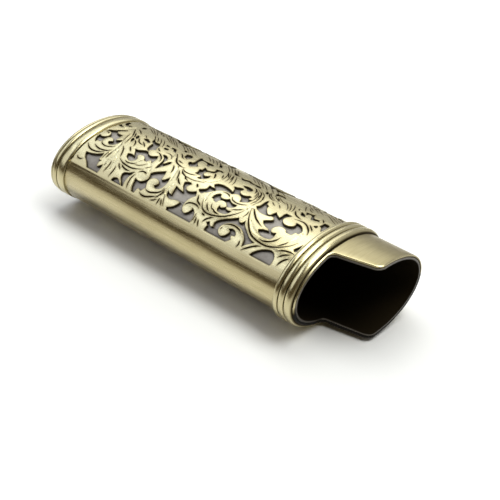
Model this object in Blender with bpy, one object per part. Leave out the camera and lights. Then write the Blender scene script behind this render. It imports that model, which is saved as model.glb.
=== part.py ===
"""Slip-on case for a flat oval pocket lighter, as a bench assembly of pressed brass parts.

The case lies on one broad face, with the origin under its middle on the surface that it
lies on. X runs along it towards the flame hood, Y across its width away from the thumb
cut, Z up through its thickness. Lengths are in metres.
"""
import math

import bmesh
import bpy
import numpy as np
from mathutils.geometry import delaunay_2d_cdt

for old in list(bpy.data.objects):
    bpy.data.objects.remove(old, do_unlink=True)

# Driving dimensions of the whole case
case_length = 0.0790
body_width = 0.0280
body_thickness = 0.0169
section_power = 2.07
bend_count = 48

# Walls, the clearance between parts that touch, and how near points count as one
sleeve_wall = 0.0005
liner_wall = 0.0005
seat_gap = 0.0003
weld = 0.000001

# Base end: a flat end plate inside a beaded band
plate_thickness = 0.0010
base_band_height = 0.00405
base_band_proud = 0.0003

# Beaded collar below the hood
collar_start = 0.0639
collar_height = 0.0048
collar_proud = 0.0008
mouth_stand = 0.0004

# Thumb cut that leaves the hood standing on the far side
cut_foot = 0.00405
cut_head = 0.00175
cut_fillet = 0.0013
cut_corner = 0.0020

# Pierced field between the bands: cells along the case, and from the centre line to its border
cells_along = 60
cells_across = 13
border_arc_share = 0.7187
long_span_share = 1.3

# Depths under the outer skin, measured square to it
liner_depth = sleeve_wall + seat_gap
band_depth = liner_depth - seat_gap

# Places along the case, measured from its closed end, and the height of its axis
liner_start = plate_thickness + seat_gap
sleeve_start = base_band_height + seat_gap
mouth = collar_start + collar_height + mouth_stand
axis_height = body_thickness / 2 + collar_proud


def section_curve():
    """Outer section as dense samples: running arc, y, z and the outward normal."""
    turn = np.linspace(-math.pi, math.pi, 14401)
    half_width = body_width / 2
    half_height = body_thickness / 2
    c = np.cos(turn)
    s = np.sin(turn)
    y = half_width * np.sign(c) * np.abs(c) ** (2 / section_power)
    z = half_height * np.sign(s) * np.abs(s) ** (2 / section_power)
    ny = np.sign(y) * np.abs(y / half_width) ** (section_power - 1) / half_width
    nz = np.sign(z) * np.abs(z / half_height) ** (section_power - 1) / half_height
    size = np.hypot(ny, nz)
    steps = np.hypot(np.diff(y), np.diff(z))
    arc = np.concatenate([[0.0], np.cumsum(steps)])
    return turn, arc - arc[-1] / 2, y, z, ny / size, nz / size


curve_turn, curve_arc, curve_y, curve_z, curve_ny, curve_nz = section_curve()
girth = curve_arc[-1] - curve_arc[0]
quarter_arc = girth / 4

# Arc places where the sheet is bent, close together round the narrow sides
bend_arcs = np.interp(np.linspace(-math.pi, math.pi, bend_count + 1), curve_turn, curve_arc)


def wrapped(x, arc, depth):
    """Point of the case at a distance from its closed end, an arc round it and a depth under its skin.

    The arc is zero on the hood's narrow side, a quarter girth on the upper broad face,
    and half a girth on the thumb's narrow side, where the sheet's two edges meet.
    """
    y = np.interp(arc, curve_arc, curve_y) - depth * np.interp(arc, curve_arc, curve_ny)
    z = np.interp(arc, curve_arc, curve_z) - depth * np.interp(arc, curve_arc, curve_nz)
    return (x - case_length / 2, float(y), float(z) + axis_height)


def material(name, colour, roughness, metallic):
    made = bpy.data.materials.new(name)
    made.use_nodes = True
    shader = made.node_tree.nodes["Principled BSDF"]
    shader.inputs["Base Color"].default_value = (*colour, 1.0)
    shader.inputs["Roughness"].default_value = roughness
    shader.inputs["Metallic"].default_value = metallic
    return made


antique_brass = material("antique_brass", (0.52, 0.42, 0.21), 0.32, 1.0)
dark_steel = material("dark_steel", (0.20, 0.19, 0.17), 0.45, 1.0)


def finished(name, mesh_data, finish):
    """Object made from a bmesh, shaded smooth but for its sharp edges."""
    mesh = bpy.data.meshes.new(name)
    mesh_data.to_mesh(mesh)
    mesh_data.free()
    mesh.shade_smooth()
    mesh.set_sharp_from_angle(angle=math.radians(35))
    mesh.materials.append(finish)
    made = bpy.data.objects.new(name, mesh)
    bpy.context.scene.collection.objects.link(made)
    return made


def rounded_corner(before, corner, after, radius, steps):
    """Arc of a radius that rounds the corner between two straight edges."""
    corner = np.array(corner)
    to_before = np.array(before) - corner
    to_after = np.array(after) - corner
    to_before = to_before / np.linalg.norm(to_before)
    to_after = to_after / np.linalg.norm(to_after)
    half_angle = math.acos(float(np.dot(to_before, to_after))) / 2
    bisector = to_before + to_after
    centre = corner + bisector / np.linalg.norm(bisector) * radius / math.sin(half_angle)
    start = corner + to_before * radius / math.tan(half_angle) - centre
    end = corner + to_after * radius / math.tan(half_angle) - centre
    sweep = math.pi - 2 * half_angle
    points = []
    for step in range(steps + 1):
        part = step / steps
        blend = start * math.sin((1 - part) * sweep) + end * math.sin(part * sweep)
        points.append(tuple(centre + blend / math.sin(sweep)))
    return points


def sheet_outline(start):
    """Flat outline of a wrapper, as (x, arc) points, with the hood as a tab at its mouth end."""
    foot = quarter_arc + cut_foot
    head = quarter_arc + cut_head
    edge = girth / 2
    fillet = rounded_corner((mouth, edge), (mouth, foot), (case_length, head), cut_fillet, 5)
    corner = rounded_corner((mouth, foot), (case_length, head), (case_length, 0), cut_corner, 6)
    upper = [(start, edge), (mouth, edge)] + fillet + corner
    lower = [(x, -arc) for x, arc in reversed(upper)]
    return upper + lower


def smooth_outline(points, longest):
    """Closed curve through points; a third value of 1 marks a sharp corner.

    Spans longer than the given length get one extra point on their curve.
    """
    count = len(points)
    place = [np.array(point[:2], dtype=float) for point in points]
    sharp = [len(point) > 2 for point in points]
    outline = []
    for i in range(count):
        here = place[i]
        there = place[(i + 1) % count]
        span = there - here
        leave = span if sharp[i] else (there - place[i - 1]) / 2
        arrive = span if sharp[(i + 1) % count] else (place[(i + 2) % count] - here) / 2
        outline.append(tuple(here))
        if np.linalg.norm(span) > longest:
            outline.append(tuple((here + there) / 2 + (leave - arrive) / 8))
    return outline


def inside(outline, x, y):
    """Whether points lie inside a closed outline, by counting the edges to one side."""
    ring = np.array(outline)
    x0, y0 = ring[:, 0][:, None], ring[:, 1][:, None]
    ring = np.roll(ring, -1, axis=0)
    x1, y1 = ring[:, 0][:, None], ring[:, 1][:, None]
    crosses = (y0 > y) != (y1 > y)
    rise = np.where(y1 == y0, 1.0, y1 - y0)
    left = x < (x1 - x0) * (y - y0) / rise + x0
    return np.count_nonzero(crosses & left, axis=0) % 2 == 1


def bent_sheet(name, outline, holes, depth, wall, finish):
    """Flat sheet with holes, cut to triangles along its bend lines and bent into a closed sleeve."""
    places = []
    edges = []
    for loop in [outline] + holes:
        first = len(places)
        places.extend(loop)
        edges.extend((first + i, first + (i + 1) % len(loop)) for i in range(len(loop)))
    low = min(point[0] for point in outline)
    for arc in bend_arcs[1:-1]:
        edges.append((len(places), len(places) + 1))
        places.extend([(low, float(arc)), (case_length, float(arc))])
    cell = girth / bend_count
    scaled = [(x / cell, arc / cell) for x, arc in places]
    flat, _, triangles, _, _, _ = delaunay_2d_cdt(scaled, edges, [], 0, 1e-5)
    flat = np.array([tuple(point) for point in flat]) * cell
    corners = np.array(triangles)
    middle = flat[corners].mean(axis=1)
    keep = inside(outline, middle[:, 0], middle[:, 1])
    for hole in holes:
        keep &= ~inside(hole, middle[:, 0], middle[:, 1])
    built = bmesh.new()
    seam = {}
    skins = ([], [])
    for x, arc in flat:
        on_seam = abs(abs(arc) - girth / 2) < weld
        key = round(x / weld)
        if on_seam and key in seam:
            pair = seam[key]
        else:
            pair = [built.verts.new(wrapped(float(x), float(arc), d)) for d in (depth, depth + wall)]
            if on_seam:
                seam[key] = pair
        skins[0].append(pair[0])
        skins[1].append(pair[1])
    twin = dict(zip(skins[0], skins[1]))
    outer = [built.faces.new([skins[0][i] for i in corner]) for corner in corners[keep]]
    for face in outer:
        built.faces.new([twin[vert] for vert in reversed(face.verts)])
    for edge in [edge for edge in built.edges if len(edge.link_faces) == 1]:
        if edge.verts[0] in twin and edge.verts[1] in twin:
            a, b = edge.link_loops[0].vert, edge.link_loops[0].link_loop_next.vert
            built.faces.new([b, a, twin[a], twin[b]])
    bmesh.ops.delete(built, geom=[vert for vert in built.verts if not vert.link_faces], context="VERTS")
    bmesh.ops.recalc_face_normals(built, faces=built.faces[:])
    return finished(name, built, finish)


# Outlines of the pierced pockets as shares of a field cell, chosen by hand: along the case from the
# base band, and across it from the centre line towards the thumb side. A third value of 1 is a sharp
# corner. The scrolls, their round ends and the leaf tips are what stays between the pockets.
base_scroll_shares = [
    (3.8, -1.35, 1), (3.95, -1.0), (3.3, -0.1), (2.8, 0.6), (3.0, 1.0), (3.6, 1.3), (4.2, 1.2),
    (4.75, 1.15, 1), (4.9, 2.0), (4.95, 2.9), (5.2, 3.55), (5.7, 3.1), (6.25, 2.65, 1), (6.5, 3.4),
    (6.35, 4.3), (5.9, 5.1), (5.2, 5.5), (4.5, 5.2), (4.25, 4.75, 1), (5.0, 4.2, 1), (4.5, 3.6),
    (3.9, 3.35), (3.3, 3.5), (2.9, 4.0), (2.7, 4.7), (2.8, 5.4), (2.35, 6.0, 1), (1.95, 5.8),
    (1.7, 6.5, 1), (1.1, 5.8), (0.75, 4.9), (0.7, 4.15, 1), (1.4, 4.35), (2.1, 4.1), (2.55, 3.6),
    (2.65, 3.0), (2.45, 2.4), (2.0, 1.95), (1.4, 1.8), (0.6, 2.0, 1), (0.9, 1.4), (1.7, 0.85),
    (2.4, 0.05), (3.2, -0.8)]
base_palmette_shares = [
    (6.3, 8.3, 1), (6.45, 9.1), (6.45, 10.1), (7.2, 10.05, 1), (6.9, 10.7), (7.05, 11.45), (7.4, 11.7),
    (7.9, 11.2), (8.35, 10.8, 1), (8.45, 11.8), (8.4, 12.9, 1), (5.0, 12.9, 1), (4.5, 12.3), (3.8, 11.6),
    (3.0, 11.1, 1), (2.6, 10.5), (2.3, 9.85, 1), (3.6, 9.65), (5.0, 9.15)]
first_scroll_shares = [
    (10.95, 3.2, 1), (11.8, 3.05), (12.5, 2.55), (13.2, 2.15), (13.9, 2.25), (14.4, 2.75), (15.1, 3.0),
    (15.8, 2.85), (16.2, 2.4), (16.65, 2.05, 1), (17.1, 2.7), (17.35, 3.6), (17.45, 4.8, 1), (17.0, 4.3),
    (16.6, 4.0, 1), (16.35, 4.5), (16.2, 5.0, 1), (15.55, 5.05), (15.2, 4.6), (14.8, 4.15), (14.2, 3.9),
    (13.5, 3.95), (13.1, 4.35), (13.15, 4.85), (13.6, 5.25), (13.85, 5.75), (13.5, 6.5), (12.75, 6.85),
    (12.0, 6.6), (11.3, 6.1), (10.9, 5.3, 1), (11.7, 5.05), (12.7, 5.2, 1), (12.1, 4.5), (11.5, 3.75)]
first_leaf_shares = [
    (10.5, -3.3, 1), (11.1, -2.6), (11.7, -2.2), (12.6, -2.3), (13.2, -2.0), (13.7, -1.2), (14.0, -0.3),
    (14.4, 0.6, 1), (13.8, 1.0), (13.45, 1.85, 1), (12.7, 1.3), (12.3, 0.4), (12.05, -0.6),
    (11.9, -1.3), (11.2, -1.7), (10.8, -2.4)]
stem_slit_shares = [(7.0, -1.45, 1), (7.6, -1.2), (7.95, -0.6), (8.0, 0.1, 1), (7.5, -0.25), (7.15, -0.8)]
lower_slit_shares = [(7.1, 0.2, 1), (7.7, 0.45), (8.0, 1.0), (8.1, 1.85, 1), (7.6, 1.35), (7.3, 0.8)]
bead_slit_shares = [
    (9.0, -1.4), (9.7, -1.9), (10.3, -1.5), (11.05, -1.1), (10.9, -0.6), (10.2, -0.85), (9.6, -0.95)]
border_leaf_shares = [
    (16.4, 8.85, 1), (16.2, 9.7), (15.95, 10.6), (15.95, 11.8), (16.2, 12.9, 1), (15.7, 12.9, 1),
    (15.1, 12.1), (14.45, 11.4), (14.2, 10.6), (14.5, 9.95), (15.4, 9.6)]
border_drop_shares = [(12.75, 12.9, 1), (12.9, 12.25), (13.5, 11.9), (14.3, 12.05), (15.4, 12.9, 1)]
fork_shares = [
    (17.1, 0.75, 1), (17.9, 0.7), (18.7, 1.2), (19.15, 2.0), (19.2, 2.9), (19.5, 3.4), (19.85, 2.9),
    (20.05, 2.1), (20.45, 1.8, 1), (20.75, 2.5), (20.4, 3.7), (19.9, 4.7), (19.4, 5.55, 1),
    (19.1, 4.6), (18.95, 3.4), (18.65, 2.4), (18.1, 1.6), (17.5, 1.2)]
second_scroll_shares = [
    (22.0, 4.95, 1), (22.45, 5.8), (22.75, 6.8), (23.05, 7.45), (23.45, 7.3), (23.8, 6.8), (24.15, 6.0, 1),
    (24.55, 6.9), (24.8, 8.1), (24.6, 9.3), (23.9, 9.85), (23.2, 9.85), (22.75, 9.5, 1), (23.1, 9.1),
    (23.2, 8.6), (22.9, 8.05), (22.2, 7.8), (21.4, 7.9), (20.85, 8.4), (20.7, 9.2), (20.9, 9.9),
    (21.4, 10.8, 1), (20.8, 11.9, 1), (20.0, 11.6), (19.7, 12.1), (19.6, 12.9, 1), (18.8, 12.9, 1),
    (18.3, 12.0), (18.0, 11.0), (17.75, 10.0, 1), (18.4, 10.2), (19.2, 10.15), (19.95, 9.6), (20.3, 8.9),
    (20.15, 8.1), (19.7, 7.3, 1), (20.3, 6.4), (21.1, 5.75)]
upper_scroll_shares = [
    (23.0, -5.1, 1), (23.8, -4.6), (24.8, -4.5), (26.2, -4.6), (27.2, -4.2), (27.2, -3.7, 1), (26.7, -3.6),
    (26.9, -2.7, 1), (26.3, -3.0), (25.9, -3.7), (25.0, -4.0), (24.2, -3.95), (24.05, -3.2), (24.25, -2.3),
    (24.8, -1.6), (25.5, -1.1, 1), (25.1, -0.5), (24.4, 0.3, 1), (23.7, -0.1), (23.1, -0.7),
    (22.95, -1.3, 1), (23.5, -1.5), (23.65, -2.0), (23.5, -2.8), (23.3, -3.6), (23.05, -4.4)]
upper_eye_shares = [
    (20.1, -3.6, 1), (20.8, -3.9), (21.5, -3.7), (21.9, -3.0), (21.8, -2.2), (21.2, -1.9, 1), (20.6, -2.3),
    (20.3, -2.9)]
upper_hook_shares = [
    (15.8, -3.3, 1), (16.4, -3.4), (17.2, -3.1), (17.6, -2.5), (18.0, -1.9, 1), (17.3, -2.1), (16.8, -2.7),
    (16.2, -2.7)]
upper_dot_shares = [(14.9, -1.8), (15.6, -1.95), (16.15, -1.7), (15.9, -1.25), (15.3, -1.2)]
upper_comma_shares = [(14.1, -3.4, 1), (14.8, -3.25), (15.35, -2.9, 1), (14.6, -2.7)]
middle_scroll_shares = [
    (28.8, -3.3, 1), (29.3, -3.6), (30.0, -3.7), (30.7, -3.5, 1), (30.6, -3.1), (29.95, -3.1), (29.8, -2.4),
    (29.85, -1.6), (29.4, -1.2), (28.7, -1.0), (28.3, -0.5), (28.35, 0.3), (28.85, 0.8), (29.4, 0.8),
    (29.8, 0.45), (30.1, 0.05, 1), (30.4, 0.7), (30.2, 1.5), (29.6, 2.2), (28.9, 2.5), (28.6, 2.3, 1),
    (28.9, 1.75), (28.6, 1.35), (27.8, 1.45), (27.0, 1.4, 1), (27.1, 0.7), (26.6, -0.5, 1), (27.1, -0.7),
    (26.9, -1.9, 1), (27.5, -1.5), (28.2, -1.3), (28.9, -1.7), (29.3, -2.2), (29.15, -2.8)]
great_leaf_shares = [
    (36.45, -0.4, 1), (37.2, -0.75), (37.7, -1.1), (38.4, -1.1), (38.6, -0.6), (38.45, -0.15), (38.7, 0.4),
    (39.3, 0.8), (40.1, 0.85), (40.75, 0.5), (41.2, 0.1), (41.75, 0.35), (41.6, 1.0), (42.0, 1.3),
    (42.5, 1.1, 1), (42.55, 1.8), (42.1, 2.5), (41.5, 2.95), (41.0, 3.05, 1), (40.8, 2.4), (40.3, 1.75),
    (39.6, 1.4), (38.9, 1.4), (38.4, 1.75), (38.1, 2.15, 1), (37.2, 2.15), (36.3, 2.25), (35.6, 2.6),
    (35.0, 3.1), (34.5, 3.7), (34.2, 4.3), (33.8, 4.9), (33.2, 5.3), (33.0, 5.85, 1), (32.3, 5.7),
    (31.7, 5.2, 1), (32.2, 4.75), (32.7, 4.3), (32.8, 3.6), (32.6, 2.95, 1), (33.4, 3.0), (34.2, 2.9, 1),
    (33.6, 2.5), (33.1, 1.9), (33.3, 1.35), (33.8, 1.0), (34.6, 0.8), (35.6, 0.85), (36.8, 1.15),
    (37.55, 1.35), (37.3, 0.5), (36.9, 0.0)]
great_hook_shares = [
    (37.4, -2.3, 1), (37.9, -2.6), (38.8, -2.7), (39.6, -2.5), (40.05, -2.0), (39.9, -1.35),
    (39.3, -1.15, 1), (39.0, -1.6), (38.5, -1.7), (37.9, -1.9)]
third_scroll_shares = [
    (36.2, 3.6, 1), (36.6, 3.75), (36.8, 4.2), (37.3, 4.5), (38.0, 4.5), (38.6, 4.15), (38.9, 3.75, 1),
    (39.4, 4.1), (40.0, 4.4), (40.7, 4.5), (41.4, 4.4, 1), (41.5, 4.9), (41.2, 5.4), (40.7, 5.75),
    (40.1, 5.95, 1), (39.7, 5.5), (39.2, 5.1), (38.5, 4.95), (37.8, 5.1), (37.4, 5.5), (37.3, 6.1, 1),
    (36.7, 6.05), (36.3, 5.7), (35.7, 5.6, 1), (35.6, 4.9), (35.75, 4.2)]
third_eye_shares = [
    (38.6, 6.6, 1), (39.2, 6.8), (39.6, 6.6), (39.95, 6.15, 1), (40.3, 6.5), (40.9, 6.65), (41.7, 6.5, 1),
    (41.6, 7.1), (41.0, 7.7), (40.2, 7.95), (39.3, 7.9), (38.8, 7.4)]
middle_ground_shares = [
    (27.7, 5.2, 1), (28.1, 4.85), (28.8, 4.65), (29.4, 4.95, 1), (29.1, 5.5), (29.0, 6.1), (29.3, 6.6),
    (29.9, 6.9), (30.6, 6.85), (31.2, 6.5), (31.7, 6.0, 1), (32.1, 6.4), (32.55, 7.2, 1), (32.1, 7.9),
    (31.8, 8.8), (31.75, 9.7), (31.9, 10.6), (32.3, 11.3), (33.0, 11.75), (33.6, 11.6), (34.1, 11.0),
    (34.3, 10.4), (34.2, 9.95, 1), (34.8, 10.25), (35.4, 10.9), (35.7, 11.8), (35.7, 12.9, 1),
    (29.1, 12.9, 1), (28.85, 12.35, 1), (29.7, 11.9), (30.3, 11.3), (30.7, 10.6), (30.85, 10.05, 1),
    (30.0, 10.0), (29.2, 10.15), (28.3, 10.45), (27.4, 10.3), (26.9, 9.9), (26.55, 9.1, 1), (27.2, 9.45),
    (27.8, 9.5, 1), (27.55, 8.8), (27.4, 8.0), (27.1, 7.15, 1), (28.3, 7.5), (29.6, 7.65, 1), (29.0, 7.0),
    (28.4, 6.4), (28.0, 5.8)]
border_scroll_shares = [
    (44.3, 6.95, 1), (44.65, 7.5), (45.15, 7.85), (45.7, 7.7), (45.95, 6.95, 1), (46.5, 7.8), (47.2, 8.4),
    (48.2, 9.1), (49.2, 9.8), (50.2, 10.2), (51.0, 10.35, 1), (50.4, 10.9), (49.7, 11.5), (49.2, 12.2, 1),
    (48.95, 11.4), (48.6, 10.6), (47.9, 9.8), (47.0, 9.15), (46.0, 8.8), (45.0, 8.7), (44.0, 8.85),
    (43.2, 9.3), (42.6, 9.9), (42.3, 10.7), (42.4, 11.5), (42.9, 12.1), (43.6, 12.35), (44.3, 12.05),
    (44.75, 11.5), (44.95, 10.9), (44.8, 10.5), (44.35, 10.25, 1), (45.0, 9.9), (45.8, 10.05),
    (46.3, 10.5), (46.55, 11.0, 1), (45.9, 11.15), (45.75, 11.6), (46.15, 12.0, 1), (45.7, 12.5),
    (45.3, 12.9, 1), (39.7, 12.9, 1), (39.6, 12.3), (39.7, 11.7), (39.1, 11.2, 1), (39.6, 10.8),
    (40.0, 11.3), (40.5, 11.6), (41.0, 11.4, 1), (40.7, 10.8), (40.75, 10.2), (41.2, 9.5), (42.1, 8.7),
    (43.1, 8.0), (43.8, 7.4)]
half_round_shares = [
    (51.8, 12.9, 1), (52.1, 12.2), (52.8, 11.4), (53.7, 10.7), (54.8, 10.2), (55.7, 10.2), (56.4, 10.7),
    (56.8, 11.4), (56.9, 12.2), (56.8, 12.9, 1)]
twin_scroll_shares = [
    (44.95, -1.3, 1), (45.3, -0.8), (45.5, -0.1), (45.9, 0.1), (46.35, 0.4), (46.6, 1.2), (47.2, 1.9),
    (47.8, 2.5), (48.3, 2.7), (48.7, 2.4), (48.85, 1.7), (49.0, 1.0, 1), (49.4, 1.4), (50.0, 1.75),
    (50.6, 2.1, 1), (50.7, 1.4), (50.6, 0.6), (50.7, -0.15, 1), (51.4, -0.1), (52.1, -0.05, 1),
    (51.7, 0.6), (51.45, 1.3), (51.5, 2.0), (51.9, 2.6), (52.5, 3.0), (53.3, 3.1), (54.0, 2.9),
    (54.5, 2.4), (54.6, 1.8), (54.35, 1.15, 1), (55.1, 1.15), (55.9, 1.5), (56.6, 2.2), (56.95, 2.9),
    (56.85, 3.8, 1), (56.2, 3.75), (55.9, 4.8, 1), (55.3, 4.85), (54.7, 4.85, 1), (54.2, 4.3),
    (53.5, 4.05), (52.8, 4.1), (52.2, 4.4), (51.8, 5.0), (51.65, 5.6), (51.85, 6.15), (52.3, 6.45),
    (52.8, 6.4), (53.2, 6.15, 1), (53.4, 6.8), (53.45, 7.6), (53.1, 8.05), (52.3, 8.3), (51.2, 8.3),
    (50.2, 7.9), (49.6, 7.3, 1), (50.3, 6.85), (51.0, 6.65), (51.65, 6.5, 1), (51.2, 6.1), (50.4, 5.9),
    (49.5, 5.5), (48.8, 4.8, 1), (49.3, 4.3), (49.9, 3.85, 1), (50.2, 3.4), (49.9, 2.85), (49.3, 2.7),
    (48.7, 3.0), (47.8, 3.2), (46.8, 3.2), (45.8, 2.9), (45.1, 2.5), (44.65, 2.0, 1), (45.0, 1.3),
    (45.0, 0.5), (44.9, -0.4)]
collar_slot_shares = [
    (58.05, -3.2, 1), (58.9, -3.2), (59.4, -2.8), (59.55, -1.5), (59.6, -0.5), (59.5, 0.1, 1), (59.1, -0.5),
    (58.8, -1.0), (58.1, -1.4, 1), (58.15, -2.3)]
collar_dot_shares = [(57.35, -0.6), (57.7, -1.05), (58.05, -0.75), (58.1, -0.2, 1), (57.7, -0.2)]
collar_drop_shares = [
    (59.65, 5.9, 1), (59.75, 6.9), (59.75, 7.9, 1), (59.25, 8.0), (58.9, 7.6, 1), (59.3, 6.8)]
upper_leaf_slit_shares = [(52.2, -3.2, 1), (52.9, -2.95), (53.4, -2.6), (53.9, -2.05, 1), (53.2, -1.85),
                          (52.7, -2.2)]
upper_wave_shares = [
    (52.9, -4.1, 1), (53.5, -4.2), (54.1, -4.4), (54.55, -4.75), (54.75, -4.1), (55.0, -3.5), (55.5, -3.05),
    (56.0, -3.15), (56.45, -3.4, 1), (56.9, -2.75, 1), (56.2, -2.45), (55.4, -2.1, 1), (55.0, -2.7),
    (54.6, -3.4), (54.1, -3.75), (53.7, -3.6), (53.5, -3.0, 1), (53.1, -3.5)]
high_hook_shares = [
    (43.6, -5.9, 1), (44.6, -6.1), (45.6, -6.0), (46.3, -5.3, 1), (45.4, -5.35), (44.7, -5.1),
    (44.4, -4.6, 1), (43.9, -5.1)]
high_wave_shares = [
    (34.4, -5.1, 1), (35.2, -5.0), (35.9, -5.4), (36.6, -5.5), (37.5, -5.1), (38.5, -5.1), (39.3, -5.2),
    (39.9, -4.9), (40.3, -4.4, 1), (39.4, -4.35), (38.5, -4.6), (37.6, -4.45), (36.7, -4.7), (36.0, -4.4),
    (35.2, -4.3)]
high_slit_shares = [
    (31.7, -6.0, 1), (32.4, -5.95), (33.1, -5.45), (33.95, -5.2, 1), (33.0, -4.85), (32.3, -5.2)]
high_leaf_shares = [(27.0, -6.6, 1), (28.0, -6.1), (28.75, -5.0, 1), (28.2, -4.95), (27.7, -5.7)]
high_drop_shares = [(42.0, -4.5, 1), (42.6, -4.25), (42.95, -3.4, 1), (42.35, -3.5)]
high_dot_shares = [(18.2, -4.95), (18.9, -4.7), (19.15, -4.1), (18.6, -4.15)]
base_high_leaf_shares = [(4.2, -6.4, 1), (4.9, -6.3), (5.15, -5.4), (4.75, -4.9, 1), (4.3, -5.5)]
base_high_hook_shares = [
    (0.6, -5.3, 1), (1.2, -4.8), (1.35, -4.1), (1.75, -3.6), (2.3, -3.8), (2.85, -3.6, 1), (2.4, -3.15),
    (1.6, -2.9, 1), (0.95, -3.4), (0.6, -4.2)]
base_slit_shares = [(0.5, -2.55, 1), (1.1, -2.15), (1.95, -1.9, 1), (1.1, -1.55), (0.5, -1.8)]
far_ground_shares = [
    (24.6, 7.4, 1), (25.3, 8.1), (26.1, 8.5), (27.0, 8.3), (27.5, 7.5, 1), (27.9, 8.4), (27.9, 9.4),
    (28.1, 10.3), (28.6, 11.1), (29.4, 11.5), (30.1, 11.2), (30.4, 10.5), (30.2, 9.8, 1), (31.0, 10.2),
    (31.6, 11.0), (31.8, 12.9, 1), (25.2, 12.9, 1), (25.7, 12.0), (26.3, 11.2), (26.6, 10.3, 1),
    (25.7, 10.2), (24.9, 9.7), (24.4, 8.8)]

near_pockets = [
    base_scroll_shares, base_palmette_shares, first_scroll_shares, first_leaf_shares, stem_slit_shares,
    lower_slit_shares, bead_slit_shares, border_leaf_shares, border_drop_shares, fork_shares,
    second_scroll_shares, upper_scroll_shares, upper_eye_shares, upper_hook_shares, upper_dot_shares,
    upper_comma_shares, middle_scroll_shares, great_leaf_shares, great_hook_shares, third_scroll_shares,
    third_eye_shares, middle_ground_shares, border_scroll_shares, half_round_shares, twin_scroll_shares,
    collar_slot_shares, collar_dot_shares, collar_drop_shares, upper_leaf_slit_shares, upper_wave_shares,
    high_hook_shares, high_wave_shares, high_slit_shares, high_leaf_shares, high_drop_shares,
    high_dot_shares, base_high_leaf_shares, base_high_hook_shares, base_slit_shares]

# Pockets along the far border are near ones turned half round, moved along by so many cells
far_pockets = [
    (half_round_shares, -1), (border_scroll_shares, 0), (far_ground_shares, -6),
    (border_scroll_shares, 27), (base_palmette_shares, 0)]


def turned(outline, moved_share):
    """Outline turned half round the middle of the field and moved along it."""
    return [(cells_along - point[0] + moved_share, -point[1], *point[2:]) for point in outline]


def pocket_holes():
    """All the pockets of both broad faces, as holes in the flat sheet."""
    field_length = collar_start - base_band_height - seat_gap
    cell_along = field_length / cells_along
    cell_across = quarter_arc * border_arc_share / cells_across
    outlines = near_pockets + [turned(outline, moved) for outline, moved in far_pockets]
    holes = []
    for shares in outlines:
        outline = smooth_outline(shares, long_span_share)
        upper = [(sleeve_start + u * cell_along, quarter_arc + v * cell_across) for u, v in outline]
        holes.append(upper)
        holes.append([(x, -arc) for x, arc in upper])
    return holes


def beads(edges, foot_share, steps):
    """Profile of round beads side by side, as shares of a band's height and of its stand."""
    profile = []
    for low, high, rise in edges:
        for step in range(steps + 1):
            turn = math.pi * step / steps
            along = (low + high) / 2 - (high - low) / 2 * math.cos(turn)
            profile.append((along, foot_share + (rise - foot_share) * math.sin(turn)))
    return profile


def band(name, start, height, proud, depth, profile, finish):
    """Beaded ring: a profile swept round the section, closed by its bore."""
    built = bmesh.new()
    section = [(start, depth)]
    section += [(start + along * height, -stand * proud) for along, stand in profile]
    section.append((start + height, depth))
    rings = []
    for arc in bend_arcs[:-1]:
        rings.append([built.verts.new(wrapped(x, float(arc), d)) for x, d in section])
    for i, ring in enumerate(rings):
        following = rings[(i + 1) % len(rings)]
        for k in range(len(section)):
            after = (k + 1) % len(section)
            built.faces.new([ring[k], ring[after], following[after], following[k]])
    bmesh.ops.recalc_face_normals(built, faces=built.faces[:])
    return finished(name, built, finish)


def end_plate():
    """Flat oval plate that closes the base end, seated inside the base band."""
    built = bmesh.new()
    depth = band_depth + seat_gap
    rear = [built.verts.new(wrapped(0, float(arc), depth)) for arc in bend_arcs[:-1]]
    face = built.faces.new(rear)
    raised = bmesh.ops.extrude_face_region(built, geom=[face])
    for item in raised["geom"]:
        if isinstance(item, bmesh.types.BMVert):
            item.co.x += plate_thickness
    bmesh.ops.triangulate(built, faces=[f for f in built.faces if len(f.verts) > 4])
    bmesh.ops.recalc_face_normals(built, faces=built.faces[:])
    return finished("base_plate", built, antique_brass)


# Bead edges and rises as shares of the band's height and of its stand over the sleeve
collar_bead_shares = [(0.02, 0.25, 1.0), (0.27, 0.54, 1.0), (0.56, 0.93, 1.0)]
base_bead_shares = [(0.20, 0.47, 1.0), (0.50, 0.99, 1.0)]
base_rear_shares = [(0.0, -0.9), (0.03, -0.1), (0.08, 0.35), (0.14, 0.45)]

bent_sheet("outer_sleeve", sheet_outline(sleeve_start), pocket_holes(), 0, sleeve_wall, antique_brass)
bent_sheet("liner", sheet_outline(liner_start), [], liner_depth, liner_wall, dark_steel)
band("top_collar", collar_start, collar_height, collar_proud, -seat_gap,
     beads(collar_bead_shares, 0.62, 4) + [(1.0, 0.55)], antique_brass)
band("base_band", 0, base_band_height, base_band_proud, band_depth,
     base_rear_shares + beads(base_bead_shares, 0.1, 4), antique_brass)
end_plate()
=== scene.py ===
import math

import bpy
import numpy as np
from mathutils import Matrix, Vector
from mathutils.geometry import delaunay_2d_cdt
from mathutils.kdtree import KDTree


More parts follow.
